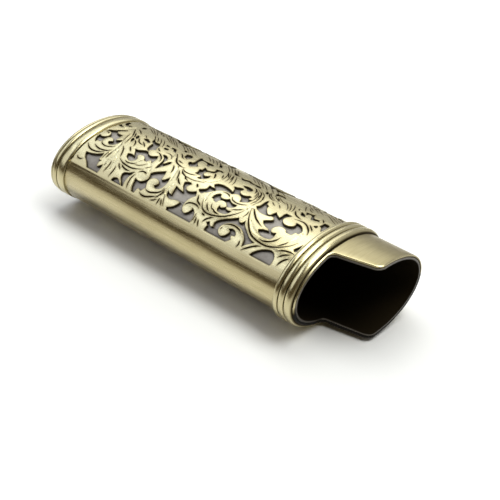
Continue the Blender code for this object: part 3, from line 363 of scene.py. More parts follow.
# Engraved lines of the leaves: half the cut's width in millimetres, then the points that it runs
# through, in the same shares. They start and end in thin tips, as a graver's cut does.
bold_cut = 0.20
plain_cut = 0.16
faint_cut = 0.10
engraved_line_shares = [
    (bold_cut, [(2.4, 7.2), (3.2, 7.55), (4.3, 7.75), (5.4, 7.6), (6.3, 7.3), (7.0, 6.6)]),
    (bold_cut, [(0.7, 7.7), (1.3, 8.2), (2.2, 8.7), (3.3, 8.85), (4.4, 8.7), (5.4, 8.3), (6.0, 7.9)]),
    (plain_cut, [(2.9, 5.5), (3.5, 6.1), (4.5, 6.4), (5.5, 6.2), (6.4, 5.7), (6.8, 5.3)]),
    (plain_cut, [(8.1, 4.1), (8.8, 4.7), (9.4, 5.5), (9.9, 6.4), (10.3, 7.2)]),
    (plain_cut, [(9.5, 3.2), (10.1, 3.9), (10.9, 4.6)]),
    (plain_cut, [(7.7, 7.0), (7.6, 8.0), (7.7, 9.0)]),
    (plain_cut, [(9.5, 9.0), (9.8, 10.0), (9.8, 11.0), (9.7, 12.0)]),
    (plain_cut, [(11.4, 9.6), (11.7, 10.8), (11.6, 12.5)]),
    (plain_cut, [(11.4, 8.6), (12.1, 9.3), (12.9, 9.9)]),
    (plain_cut, [(1.0, 11.5), (1.6, 11.95), (2.4, 11.9), (2.8, 11.6)]),
    (plain_cut, [(1.0, 2.5), (1.5, 2.3), (2.0, 2.7)]),
    (bold_cut, [(10.6, 7.5), (11.4, 7.9), (12.3, 8.2), (13.5, 8.35), (14.8, 8.35), (16.0, 8.0), (17.4, 7.3)]),
    (bold_cut, [(12.3, 8.7), (13.2, 9.1), (14.3, 9.3), (15.2, 9.2)]),
    (plain_cut, [(12.0, 7.3), (12.6, 7.5), (13.3, 7.5), (14.2, 7.2), (14.8, 6.7)]),
    (faint_cut, [(17.6, 6.8), (18.0, 6.3), (18.3, 5.7)]),
    (bold_cut, [(17.2, 8.5), (17.5, 8.0), (18.2, 7.75), (18.9, 7.9), (19.1, 8.2)]),
    (plain_cut, [(16.9, 9.2), (16.8, 10.2), (16.9, 11.3), (17.2, 12.4), (17.4, 12.8)]),
    (bold_cut, [(21.6, 11.0), (22.2, 11.25), (23.0, 11.3), (23.9, 11.0), (24.8, 10.5), (25.3, 9.8),
                (25.3, 9.0)]),
    (bold_cut, [(20.8, 12.3), (21.6, 12.6), (22.6, 12.6), (23.6, 12.2), (24.7, 11.6), (25.1, 11.2)]),
    (plain_cut, [(24.3, 12.7), (25.0, 12.4), (25.6, 11.9)]),
    (plain_cut, [(25.6, 9.0), (25.7, 10.0), (25.6, 11.0)]),
    (plain_cut, [(26.1, 9.6), (25.8, 10.4), (25.4, 11.2), (25.0, 11.9)]),
    (plain_cut, [(26.1, 11.3), (26.2, 12.2), (26.2, 12.9)]),
    (plain_cut, [(26.6, 11.4), (27.0, 12.1), (27.4, 12.7)]),
    (bold_cut, [(24.2, 2.3), (25.3, 3.3), (26.5, 3.75), (27.0, 4.25), (28.0, 4.65)]),
    (plain_cut, [(24.0, 3.0), (24.8, 4.0), (25.4, 5.0), (25.8, 5.8)]),
    (bold_cut, [(25.7, 5.0), (26.3, 5.7), (27.0, 6.2), (27.5, 6.4)]),
    (faint_cut, [(25.6, 3.5), (27.0, 3.75), (28.5, 3.75), (30.0, 3.3), (31.0, 2.9)]),
    (plain_cut, [(24.1, 2.0), (25.0, 2.5), (26.2, 2.6), (27.3, 2.3), (27.9, 2.0)]),
    (bold_cut, [(30.2, 4.1), (30.6, 4.5), (31.0, 5.0)]),
    (bold_cut, [(32.2, 10.3), (32.3, 9.7), (32.8, 9.2), (33.6, 8.95), (34.6, 9.0), (35.6, 9.5)]),
    (bold_cut, [(33.0, 6.6), (33.4, 7.3), (33.9, 8.0), (34.7, 8.4), (35.4, 8.8)]),
    (bold_cut, [(34.7, 7.0), (35.2, 8.0), (35.8, 8.7), (36.5, 9.2), (37.5, 9.5), (38.5, 9.45), (39.6, 9.2),
                (40.6, 8.8), (41.6, 8.2), (42.4, 7.4), (43.0, 6.6), (43.5, 5.7), (43.8, 4.8)]),
    (plain_cut, [(36.0, 7.3), (36.5, 8.0), (37.2, 8.6), (37.8, 8.9)]),
    (bold_cut, [(37.8, 7.8), (38.4, 8.2), (39.2, 8.5), (40.1, 8.5)]),
    (plain_cut, [(38.9, 2.9), (39.4, 3.5), (40.2, 3.85), (41.2, 3.9), (42.2, 3.6), (43.1, 3.0)]),
    (plain_cut, [(36.3, 2.8), (37.3, 2.65), (38.0, 2.9), (38.4, 3.3)]),
    (plain_cut, [(41.4, 6.0), (42.1, 5.7), (42.8, 5.2), (43.3, 4.5)]),
    (bold_cut, [(44.6, 3.3), (45.0, 3.2), (46.0, 4.2), (47.2, 5.2), (48.3, 5.8), (49.7, 6.4)]),
    (bold_cut, [(44.4, 3.2), (45.2, 4.7), (46.0, 6.0), (47.0, 7.2), (48.0, 8.2), (49.2, 9.1), (50.6, 9.6),
                (52.0, 9.8), (53.5, 9.8), (54.8, 9.4), (56.0, 8.8), (57.2, 7.9), (58.0, 7.0), (58.5, 6.0)]),
    (faint_cut, [(44.6, 4.3), (44.9, 5.3), (44.8, 6.4)]),
    (bold_cut, [(51.3, 9.1), (52.3, 9.15), (53.3, 8.8), (54.1, 8.2), (54.6, 7.4), (54.8, 6.6)]),
    (plain_cut, [(56.8, 6.7), (56.6, 7.4), (56.1, 8.1), (55.6, 8.7)]),
    (bold_cut, [(56.1, 9.8), (57.0, 9.2), (58.0, 8.75), (59.2, 8.6), (59.9, 8.7)]),
    (bold_cut, [(57.3, 10.8), (57.8, 10.1), (58.5, 9.5), (59.3, 9.1)]),
    (bold_cut, [(58.2, 12.3), (58.5, 11.3), (59.0, 10.5), (59.7, 9.9)]),
    (bold_cut, [(49.5, 12.9), (50.3, 12.1), (51.3, 11.2), (52.2, 10.6), (52.8, 10.4)]),
    (plain_cut, [(48.1, 11.3), (48.35, 12.1), (48.2, 12.8)]),
    (bold_cut, [(38.2, 11.6), (38.5, 10.8), (39.0, 10.2), (39.8, 9.6)]),
    (bold_cut, [(36.8, 9.9), (37.3, 10.1), (37.8, 10.2)]),
    (plain_cut, [(36.4, 11.3), (36.7, 12.1), (36.8, 12.7)]),
    (plain_cut, [(37.2, 11.5), (37.5, 12.2), (37.9, 12.8)]),
    (bold_cut, [(42.9, 9.9), (43.6, 9.4), (44.5, 9.15), (45.5, 9.15), (46.5, 9.45), (47.2, 9.9)]),
    (faint_cut, [(42.9, 10.5), (42.8, 11.2)]),
    (plain_cut, [(39.4, -3.5), (40.2, -3.1), (40.8, -2.3), (41.2, -1.4)]),
    (plain_cut, [(41.5, -3.1), (42.2, -2.3), (42.6, -1.2), (42.9, -0.2)]),
    (plain_cut, [(43.1, -2.0), (43.6, -1.2), (43.9, -0.4)]),
    (plain_cut, [(42.9, -4.4), (43.3, -3.6), (44.0, -2.8), (45.0, -2.3), (45.6, -2.1)]),
    (plain_cut, [(45.3, -4.0), (45.9, -3.5), (46.3, -3.1)]),
    (bold_cut, [(51.1, -2.6), (51.6, -1.8), (52.3, -1.1), (53.2, -0.7), (54.1, -0.5)]),
    (plain_cut, [(51.0, -3.9), (51.4, -3.2)]),
    (bold_cut, [(53.2, 0.35), (54.2, 0.1), (55.2, 0.0), (56.2, 0.4), (57.1, 1.1), (57.9, 2.0), (58.4, 3.0)]),
    (plain_cut, [(56.6, -0.2), (57.3, 0.4), (58.0, 1.0), (58.3, 1.4)]),
    (plain_cut, [(56.8, -4.2), (57.3, -3.7), (57.8, -3.0)]),
    (plain_cut, [(31.6, -2.4), (32.0, -1.8), (32.4, -1.0)]),
    (bold_cut, [(30.1, -1.6), (30.6, -1.0), (31.0, -0.4), (31.3, 0.3)]),
    (plain_cut, [(31.3, -4.4), (32.0, -3.6), (32.7, -2.8), (33.0, -2.2)]),
    (plain_cut, [(33.0, -4.3), (33.4, -3.4), (33.8, -2.5), (34.0, -1.8)]),
    (bold_cut, [(19.4, -1.2), (19.9, -0.5), (20.5, 0.3), (21.2, 1.0), (22.2, 1.5), (23.3, 1.7), (24.2, 1.6)]),
    (plain_cut, [(19.0, -2.8), (19.8, -2.2), (20.5, -1.5), (21.3, -1.1)]),
    (plain_cut, [(21.0, 0.1), (21.8, 0.4), (22.6, 0.55)]),
    (plain_cut, [(14.3, -0.6), (14.9, 0.0), (15.6, 0.35)]),
    (plain_cut, [(15.2, 1.0), (16.0, 1.0), (16.8, 1.4), (17.6, 2.0), (18.1, 2.6), (18.4, 3.3)]),
    (plain_cut, [(21.7, 2.3), (22.3, 3.0), (22.8, 3.8), (23.2, 4.8)]),
    (plain_cut, [(4.3, -3.3), (4.8, -2.6), (5.4, -1.8), (6.0, -1.0), (6.5, -0.2), (6.8, 0.5)]),
    (plain_cut, [(5.9, -1.9), (6.4, -1.3), (6.8, -0.7), (7.2, 0.0)]),
    (plain_cut, [(4.7, -4.0), (5.6, -3.5), (6.4, -2.9), (7.0, -2.3)]),
    (plain_cut, [(8.2, -0.6), (8.8, 0.0), (9.5, 0.7), (10.4, 1.0), (11.2, 1.0)]),
    (plain_cut, [(8.0, 0.6), (8.8, 1.1), (9.4, 1.8), (9.9, 2.8)]),
    (plain_cut, [(10.0, -0.1), (10.7, 0.4), (11.3, 0.9), (11.9, 1.4)]),
    (faint_cut, [(6.3, -0.6), (6.9, 0.8), (7.3, 2.0), (7.6, 3.2)]),
    (faint_cut, [(5.4, -0.6), (5.8, 0.6), (6.2, 1.8), (6.5, 2.8)]),
    (faint_cut, [(7.0, 7.2), (6.9, 8.4), (6.9, 9.6)]),
    (faint_cut, [(7.9, -2.9), (8.6, -2.4), (9.3, -1.8)]),
    (faint_cut, [(20.3, -2.4), (21.0, -1.9), (21.9, -1.5)]),
    (faint_cut, [(16.8, -0.3), (17.9, -0.4), (18.9, 0.1), (19.6, 1.0)]),
    (faint_cut, [(18.6, -1.8), (19.2, -1.3), (19.6, -0.6)]),
    (faint_cut, [(14.6, 7.2), (15.6, 7.0), (16.4, 6.4), (16.9, 5.6)]),
    (faint_cut, [(26.8, 10.6), (27.3, 11.6), (27.9, 12.6)]),
    (faint_cut, [(41.3, -2.2), (41.8, -1.2), (42.1, -0.2)]),
    (faint_cut, [(37.0, 7.0), (37.5, 7.8), (38.2, 8.3)]),
    (faint_cut, [(35.8, 10.6), (36.0, 11.6), (35.9, 12.6)]),
    (faint_cut, [(47.4, -1.7), (48.0, -1.2), (48.5, -0.6)]),
    (faint_cut, [(45.7, -1.6), (46.4, -1.1), (47.1, -0.6)])]

# Soft valleys between the lobes of the leaves, all of one half width in millimetres
valley_half = 0.36
soft_valley_shares = [
    [(6.9, 3.4), (7.3, 4.8), (7.4, 6.2), (7.2, 7.6)],
    [(8.2, 5.6), (8.7, 7.2), (8.8, 8.9), (8.7, 10.6)],
    [(9.8, 7.6), (10.4, 9.0), (10.6, 10.8)],
    [(16.8, 4.9), (17.6, 5.3), (18.5, 6.3), (19.0, 7.0)],
    [(22.6, 1.9), (23.4, 3.2), (24.3, 5.2), (24.9, 6.6)],
    [(26.4, 7.2), (26.2, 8.6), (26.6, 10.2)],
    [(34.9, 2.9), (34.4, 4.2), (34.5, 5.6), (35.1, 7.0)],
    [(42.9, -0.1), (43.5, 1.6), (43.6, 3.2), (43.9, 4.2)],
    [(46.6, 6.0), (47.9, 7.2), (49.4, 8.1), (51.0, 8.5)],
    [(57.6, 3.2), (57.7, 4.6), (57.2, 6.0)],
    [(30.6, 2.4), (31.6, 2.0), (32.2, 1.0), (32.5, 0.0)],
    [(44.4, -3.9), (45.6, -2.9), (47.2, -2.2)],
    [(50.0, -2.4), (50.6, -1.2), (51.8, -0.2)],
    [(17.4, -2.2), (18.4, -1.2), (19.0, -0.2)],
    [(2.6, -1.6), (3.6, -2.6), (3.9, -4.0)],
    [(11.4, 6.5), (13.0, 6.9), (14.4, 6.2), (15.2, 5.4)]]

# Round ends of the scrolls, raised like beads: place along, place across and radius
bulb_shares = [
    (1.4, 3.0, 1.2), (3.6, 4.7, 1.1), (14.3, 4.8, 1.0), (18.3, 8.9, 1.3), (21.8, 8.9, 1.2), (29.2, -0.2, 1.0),
    (33.2, 10.4, 1.2), (39.9, 0.0, 0.9), (38.6, 6.0, 1.0), (43.7, 10.8, 1.3), (53.1, 1.6, 1.4),
    (53.4, 5.3, 1.4), (19.0, 4.0, 0.5)]

# Reaches along the near border whose cuts and bulbs are repeated, turned half round, along the far
# one: where each starts and ends, and how many cells its copy is moved along
far_reach_shares = [(0, 12, 0), (38.0, 51, 0), (38.0, 51, 27), (24, 32, -6), (51, 60, -1)]
near_border_share = 6.9

# Spines of the leaves that turn over the far edge in the same shares, how far their veins reach, and
# how many there are on each side. A vein starts beside the spine, and its middle and its tip are
# given as shares of its reach along the spine and away from it.
vein_fans = [
    ([(0.8, -7.9), (3.4, -9.0), (6.2, -8.9), (9.4, -7.6)], 1.5, 7),
    ([(7.6, -12.7), (8.0, -11.0), (9.3, -9.3), (12.2, -7.9)], 1.3, 5),
    ([(21.4, -12.6), (20.9, -11.0), (20.2, -9.6), (18.8, -8.2)], 1.2, 5),
    ([(20.6, -8.3), (22.8, -9.4), (25.2, -9.6), (26.0, -8.2)], 1.2, 5),
    ([(30.4, -12.4), (31.8, -11.0), (34.0, -9.6), (37.6, -8.5)], 1.7, 8),
    ([(33.0, -12.6), (34.6, -12.0), (36.0, -11.2)], 1.0, 3),
    ([(44.8, -8.6), (46.6, -9.7), (48.6, -10.4), (50.9, -10.6)], 1.4, 6),
    ([(48.3, -12.6), (49.5, -12.0), (50.9, -12.3)], 0.9, 3),
    ([(47.8, -8.2), (50.0, -8.8), (52.4, -8.8)], 1.0, 4),
    ([(54.6, -8.4), (56.4, -8.9), (58.2, -8.8), (59.8, -8.0)], 1.2, 5),
    ([(58.4, -12.4), (58.8, -11.2), (59.6, -10.2)], 0.9, 3),
]
vein_step = 0.1
vein_foot_share = 0.55
vein_stagger_share = 0.2
vein_offset_share = 0.25
vein_middle_share = (0.42, 0.34)
vein_tip_share = (1.0, 0.55)


def at_runs(line, runs, wanted):
    """Places on a line at some of the runs along it."""
    return np.stack([np.interp(wanted, runs, line[:, axis]) for axis in (0, 1)], axis=-1)


def leaf_veins(spine, reach, count):
    """A leaf's spine and the veins that lean forward from both its sides, as engraved lines."""
    spine = np.array(spine)
    runs = np.concatenate([[0], np.cumsum(np.hypot(*np.diff(spine, axis=0).T))])
    lines = [(bold_cut, spine.tolist())]
    for k in range(count):
        for side in (-1, 1):
            run = runs[-1] * (k + vein_foot_share + vein_stagger_share * side) / count
            foot, ahead = at_runs(spine, runs, [run, run + vein_step])
            along = (ahead - foot) / np.linalg.norm(ahead - foot)
            across = side * np.array([-along[1], along[0]])
            vein = [foot + vein_offset_share * across]
            for forward, sideways in (vein_middle_share, vein_tip_share):
                vein.append(foot + reach * (forward * along + sideways * across))
            lines.append((plain_cut, np.array(vein).tolist()))
    return lines


for spine, reach, count in vein_fans:
    engraved_line_shares += leaf_veins(spine, reach, count)

# Combs of fine lines that flow over the leaves' backs to the far edge: the first line of each, its
# last line, and how many lines there are. Each line is redrawn through a few even stops.
line_combs = [
    ([(4.2, -7.6), (5.6, -6.9), (7.0, -5.9), (8.4, -5.0)],
     [(6.4, -8.0), (7.6, -7.0), (8.6, -5.9), (9.4, -4.9)], 3),
    ([(9.4, -7.9), (10.8, -6.8), (12.2, -5.8), (13.8, -4.7)],
     [(12.0, -8.0), (13.4, -6.9), (14.8, -5.7), (16.2, -4.4)], 4),
    ([(9.2, -4.6), (10.2, -3.6), (11.0, -2.6)],
     [(12.0, -4.7), (13.0, -3.6), (13.9, -2.4), (14.4, -1.4)], 4),
    ([(14.0, -7.9), (15.6, -6.8), (17.2, -5.6), (18.6, -4.4)],
     [(17.4, -8.1), (18.8, -6.9), (20.2, -5.8), (21.6, -4.8)], 4),
    ([(22.4, -7.8), (23.9, -6.6), (25.4, -5.2)],
     [(25.4, -8.0), (26.8, -6.9), (27.9, -5.7), (28.6, -4.5)], 4),
    ([(28.0, -8.0), (29.2, -6.9), (30.4, -5.7), (31.3, -4.6)],
     [(30.9, -8.0), (32.1, -6.8), (33.1, -5.6)], 4),
    ([(31.2, -4.4), (32.0, -3.3), (32.6, -1.9), (32.9, -0.5)],
     [(33.7, -4.3), (34.5, -3.1), (35.3, -1.7), (35.7, -0.5)], 4),
    ([(35.2, -7.8), (36.6, -6.8), (37.8, -5.7)],
     [(38.2, -7.9), (39.6, -6.8), (41.0, -5.5), (41.8, -4.6)], 4),
    ([(40.8, -3.9), (42.3, -3.0), (43.3, -1.8), (43.9, -0.5), (44.1, 1.0), (43.9, 2.3)],
     [(39.6, -3.4), (41.1, -2.6), (42.1, -1.4), (42.6, 0.0), (42.7, 1.4), (42.5, 2.4)], 3),
    ([(40.2, -7.9), (41.4, -6.8), (42.6, -5.6), (43.4, -4.6)],
     [(43.0, -8.0), (44.2, -7.2), (45.2, -6.4)], 3),
    ([(42.8, -4.9), (43.5, -3.9), (44.4, -3.1), (45.6, -2.5)],
     [(45.0, -4.8), (46.0, -4.0), (47.2, -3.3), (48.4, -2.9)], 3),
    ([(47.4, -3.9), (48.4, -3.2), (49.3, -2.2), (49.8, -1.2)],
     [(49.4, -4.5), (50.1, -3.5), (50.6, -2.4), (50.8, -1.4)], 3),
    ([(50.4, -8.0), (51.8, -7.0), (53.2, -5.9)],
     [(52.8, -8.0), (54.2, -7.1), (55.4, -6.3)], 3),
    ([(50.8, -6.6), (51.5, -5.4), (52.4, -4.1)],
     [(51.9, -6.4), (52.8, -5.4), (53.6, -4.9)], 2),
    ([(55.0, -7.9), (56.6, -6.8), (58.2, -5.6), (59.6, -4.7)],
     [(57.2, -8.0), (58.6, -7.2), (59.8, -6.6)], 3),
]
comb_stops = 4
comb_spacing = 1.0


def even_stops(points):
    """Even stops along a smooth line through the given points."""
    line = drawn(points, comb_spacing)
    return at_runs(line, np.linspace(0, 1, len(line)), np.linspace(0, 1, comb_stops))


for first, last, count in line_combs:
    first = even_stops(first)
    last = even_stops(last)
    for share in np.linspace(0, 1, count):
        engraved_line_shares.append((faint_cut, (first * (1 - share) + last * share).tolist()))

cell_along = (collar_start - sleeve_start) / cells_along
cell_across = quarter_arc * border_arc_share / cells_across


def on_sheet(points):
    """Field shares as flat places on the upper broad face."""
    return [(sleeve_start + point[0] * cell_along, quarter_arc + point[1] * cell_across, *point[2:])
            for point in points]


# How finely the sheet is drawn
curve_spacing = 0.2
bend_spacing = 0.3
fill_spacing = 0.42
bulb_spacing = 0.24
curve_parts = 5
edge_parts = 8

# Widths across the sheet: the worn edges of the pockets, the rolled lip of the free edge, the painted
# shade on the skin under the lower lip, what the collar covers, and the painted shadow of the seam
# in front of it
edge_widths = (0.06, 0.18)
lip_widths = (0.07, 0.16, 0.30)
under_lip_shade_widths = (1.5, 1.9)
collar_cover = (0.1, 0.6)
seam_shadow_widths = (0.2, 0.32)
panel_margin_share = 0.35
panel_edge = cell_across * (cells_across + panel_margin_share)

pocket_shares = near_pockets + [turned(outline, moved) for outline, moved in far_pockets]
pockets = [drawn(on_sheet(shares), curve_spacing, closed=True) for shares in pocket_shares]

cuts = list(engraved_line_shares)
valleys = [(valley_half, points) for points in soft_valley_shares]
bulbs = list(bulb_shares)
for low, high, moved in far_reach_shares:
    for half_width, points in engraved_line_shares:
        if all(low <= u <= high and v >= near_border_share for u, v in points):
            cuts.append((half_width, turned(points, moved)))
    for u, v, radius in bulb_shares:
        if low <= u <= high and v >= near_border_share:
            bulbs.append((*turned([(u, v)], moved)[0], radius))


def beside(line, offset, closed):
    """Line moved sideways, to its right, by an offset for each of its points."""
    if closed:
        along = np.roll(line, -1, axis=0) - np.roll(line, 1, axis=0)
    else:
        along = np.gradient(line, axis=0)
    along = along / np.linalg.norm(along, axis=1)[:, None]
    return line + np.stack([along[:, 1], -along[:, 0]], axis=1) * np.reshape(offset, (-1, 1))


def near_tree(points):
    """Search tree over flat points."""
    tree = KDTree(len(points))
    for i, (x, arc) in enumerate(points):
        tree.insert((x, arc, 0.0), i)
    tree.balance()
    return tree


def distances(tree, places):
    """Distance from each flat place to the nearest point of a search tree."""
    return np.array([tree.find((x, arc, 0.0))[2] for x, arc in places])


def densely(line, closed, parts):
    """Line with each step cut into equal parts."""
    ends = np.roll(line, -1, axis=0) if closed else line[1:]
    starts = line if closed else line[:-1]
    shares = (np.arange(parts) / parts)[None, :, None]
    dense = (starts[:, None, :] * (1 - shares) + ends[:, None, :] * shares).reshape(-1, 2)
    return dense if closed else np.vstack([dense, line[-1:]])


def inside(outline, places):
    """Whether flat places lie inside a closed outline."""
    low, high = outline.min(axis=0), outline.max(axis=0)
    within = np.zeros(len(places), dtype=bool)
    near = np.flatnonzero(((places > low) & (places < high)).all(axis=1))
    x, y = places[near, 0], places[near, 1]
    crossings = np.zeros(len(near), dtype=int)
    for (x0, y0), (x1, y1) in zip(outline, np.roll(outline, -1, axis=0)):
        if y0 != y1:
            crossings += ((y0 > y) != (y1 > y)) & (x < (x1 - x0) * (y - y0) / (y1 - y0) + x0)
    within[near] = crossings % 2 == 1
    return within


def in_a_pocket(places):
    """Whether flat places lie inside any of the pierced pockets."""
    within = np.zeros(len(places), dtype=bool)
    for pocket in pockets:
        within |= inside(pocket, places)
    return within


same_point = 0.000001


class FlatDrawing:
    """Points and lines that a flat sheet is divided by."""

    def __init__(self):
        self.points = []
        self.edges = []

    def add_points(self, points):
        self.points.extend((float(x), float(arc)) for x, arc in points)

    def add_line(self, points, closed=False):
        first = len(self.points)
        count = len(points)
        self.add_points(points)
        self.edges.extend((first + i, first + (i + 1) % count) for i in range(count if closed else count - 1))

    def triangles(self):
        """Triangulated places, triangles, and the drawn points that each place stands for."""
        flat, _, corners, sources, _, _ = delaunay_2d_cdt(self.points, self.edges, [], 0, same_point)
        return np.array([tuple(place) for place in flat]), np.array(corners), sources


def bend_arcs(spacing):
    """Arcs of the bend lines of the upper half of a wrapper."""
    return np.linspace(0, half_girth, round(half_girth / spacing) + 1)


def add_strip_lines(drawing, start, field_arcs, spacing):
    """Bend lines of the upper half of a wrapper, its free edge and its straight borders."""
    arcs = bend_arcs(spacing)
    low, high = field_arcs
    for arc in arcs[1:-1]:
        first = collar_start + collar_cover[0] if low < arc < high else start
        drawing.add_line([(first, arc), (case_length, arc)])
    drawing.add_line([(start, arc) for arc in arcs if not low < arc < high])
    drawing.add_line([(start, 0.0), (case_length, 0.0)])
    drawing.add_line([(start, half_girth), (mouth, half_girth)])
    drawing.add_line(free_edge)


corners = np.array(mouth_edge())
sides = []
for corner, following in zip(corners, corners[1:]):
    steps = max(1, math.ceil(np.linalg.norm(following - corner) / bend_spacing))
    sides.append(np.linspace(corner, following, steps, endpoint=False))
free_edge = np.vstack(sides + [corners[-1:]])
sheet_border = np.vstack([[(sleeve_start, 0.0), (sleeve_start, half_girth)], free_edge])
field_arcs = (quarter_arc - panel_edge, quarter_arc + panel_edge)

drawing = FlatDrawing()
add_strip_lines(drawing, sleeve_start, field_arcs, bend_spacing)
lip_rings = [beside(free_edge, width, False) for width in lip_widths + under_lip_shade_widths]
for ring in lip_rings:
    ring[0, 1] = half_girth
    ring[-1, 1] = 0.0
    drawing.add_line(ring)
for start, widths in ((sleeve_start, edge_widths), (collar_start, collar_cover), (collar_end, seam_shadow_widths)):
    for width in widths:
        drawing.add_line([(start + width, 0.0), (start + width, half_girth)])
for pocket in pockets:
    drawing.add_line(pocket, closed=True)

# A furrow tapers to a thin tip at both ends
taper_slope = 3.2
tip_share = 0.12


def draw_furrows(furrows):
    """Draw each furrow as its floor line and its two rims. Give back their search tree and half widths."""
    centres = []
    all_halves = []
    for half_width, points in furrows:
        centre = drawn(on_sheet(points), curve_spacing)
        place = np.linspace(0, 1, len(centre))
        halves = half_width * np.minimum(1, taper_slope * np.minimum(place, 1 - place) + tip_share)
        left = beside(centre, -halves, False)
        right = beside(centre, halves, False)
        drawing.add_line(centre)
        drawing.add_line(np.vstack([left, right[::-1]]), closed=True)
        dense = densely(centre, False, curve_parts)
        centres.append(dense)
        all_halves.append(np.interp(np.linspace(0, 1, len(dense)), place, halves))
    return near_tree(np.vstack(centres)), np.concatenate(all_halves)


cut_tree, cut_halves = draw_furrows(cuts)
valley_tree, valley_halves = draw_furrows(valleys)
pocket_tree = near_tree(np.vstack([densely(pocket, True, curve_parts) for pocket in pockets]))
edge_tree = near_tree(densely(free_edge, False, edge_parts))


def past_cuts(places):
    """How far each flat place lies outside the rim of the nearest cut, below zero inside it."""
    found = [cut_tree.find((x, arc, 0.0))[1:] for x, arc in places]
    return np.array([away - cut_halves[k] for k, away in found])


# How far the free points stay off the lines: a ring beside a pocket goes where it comes this near to
# another outline, as a share of its width, and the rest are in millimetres
ring_keep_share = 0.93
fill_clearance = 0.12
bulb_clearance = 0.08
cut_clearance = 0.05
fill_insets = (0.35, 0.2, 0.15)


def rings_beside_pockets(widths):
    """Points beside the outline of each pocket, on both its sides."""
    rings = [(beside(pocket, side * width, True), width)
             for pocket in pockets for width in widths for side in (-1, 1)]
    points = np.vstack([ring for ring, _ in rings])
    point_widths = np.concatenate([np.full(len(ring), width) for ring, width in rings])
    return points[distances(pocket_tree, points) > point_widths * ring_keep_share]


def rows_of_points(rows, spacing, start, end):
    """Points along straight rows, every second row moved by half a step."""
    fill = []
    for k, arc in enumerate(rows):
        columns = np.arange(start + (k % 2) * spacing / 2, end, spacing)
        fill.append(np.stack([columns, np.full(len(columns), arc)], axis=1))
    return np.vstack(fill)


def even_fill(spacing, low, high):
    """Points in even triangles between two corners."""
    return rows_of_points(np.arange(low[1], high[1], spacing * math.sqrt(3) / 2), spacing, low[0], high[0])


def from_middle(places, x, arc):
    """Distance of flat places from one place."""
    return np.hypot(places[:, 0] - x, places[:, 1] - arc)


# Free points: rings along the pockets, and an even fill, closer together on the bulbs
fill = even_fill(fill_spacing, (sleeve_start + fill_insets[0], field_arcs[0] + fill_insets[1]),
                 (collar_start, field_arcs[1] - fill_insets[2]))
fill = fill[distances(pocket_tree, fill) > edge_widths[1] + fill_clearance]
bulb_places = np.array([(*on_sheet([(u, v)])[0], radius * cell_across) for u, v, radius in bulbs])
for x, arc, radius in bulb_places:
    fill = fill[from_middle(fill, x, arc) > radius]
    bulb_fill = even_fill(bulb_spacing, (x - radius, arc - radius), (x + radius, arc + radius))
    bulb_fill = bulb_fill[from_middle(bulb_fill, x, arc) < radius]
    fill = np.vstack([fill, bulb_fill[distances(pocket_tree, bulb_fill) > edge_widths[1] + bulb_clearance]])
loose = np.vstack([rings_beside_pockets(edge_widths), fill])
loose = loose[past_cuts(loose) > cut_clearance]
drawing.add_points(loose[~in_a_pocket(loose)])

flat, triangles, _ = drawing.triangles()
middle = flat[triangles].mean(axis=1)
keep = inside(sheet_border, middle) & ~in_a_pocket(middle)
triangles = triangles[keep]
middle = middle[keep]

# Depths and heights of the work on the sheet. Valleys and bulbs run out near a pocket, and a place
# outside the pierced field counts as far off from any pocket.
edge_drop = 0.05
pillow_reach = 0.34
pillow_drop = 0.03
cut_depth_share = 0.75
cut_shoulder = 0.025
valley_drop = 0.055
valley_power = 0.8
bulb_rise = 0.012
run_out = 0.3
lip_drop = 0.14
far_off = 9.0


def worked_depth(places):
    """Depth of flat places under the smooth skin, depth of the cuts alone, and distance to a pocket."""
    in_field = (places[:, 0] < collar_start) & (np.abs(places[:, 1] - quarter_arc) < panel_edge)
    depth = np.zeros(len(places))
    cut = np.zeros(len(places))
    pocket_gap = np.full(len(places), far_off)
    for i in np.flatnonzero(in_field):
        spot = (places[i, 0], places[i, 1], 0.0)
        gap = pocket_tree.find(spot)[2]
        pocket_gap[i] = gap
        border = panel_edge - abs(places[i, 1] - quarter_arc)
        depth[i] = pillow_drop * math.exp(-gap / pillow_reach) * min(1.0, border / pillow_reach)
        depth[i] += edge_drop * max(0.0, 1 - gap / edge_widths[0])
        for _, k, away in cut_tree.find_range(spot, bold_cut + cut_shoulder):
            half = cut_halves[k]
            cut[i] = max(cut[i], half * cut_depth_share * max(0.0, 1 - away / half))
        _, k, away = valley_tree.find(spot)
        valley = max(0.0, 1 - away / valley_halves[k]) ** valley_power
        depth[i] += valley_drop * valley * min(1.0, gap / run_out)
    for x, arc, radius in bulb_places:
        out = from_middle(places, x, arc) / radius
        depth -= bulb_rise * np.where(out < 1, (1 - out ** 2) ** 2, 0) * np.minimum(1, pocket_gap / run_out)
    return depth + cut, cut, pocket_gap


depth, cut, pocket_gap = worked_depth(flat)
lip_gap = distances(edge_tree, flat)
edge_gap = np.minimum(lip_gap, flat[:, 0] - sleeve_start)
depth += lip_drop * np.maximum(0, 1 - edge_gap / lip_widths[2]) ** 2


def border_loops(border):
    """Closed rings of points that the border edges run through."""
    following = {int(a): int(b) for a, b in border}
    loops = []
    while following:
        start, here = following.popitem()
        loop = [start]
        while here != start:
            loop.append(here)
            here = following.pop(here)
        loops.append(loop)
    return loops


mirror_touch = 0.00001


def to_mirror_line(places):
    """Distances of flat places from the borders that the two halves of a sheet share."""
    return np.minimum(np.abs(places[:, 1]), np.abs(places[:, 1] - half_girth))


def on_mirror_line(places):
    """Whether flat places lie on such a border."""
    return to_mirror_line(places) < mirror_touch


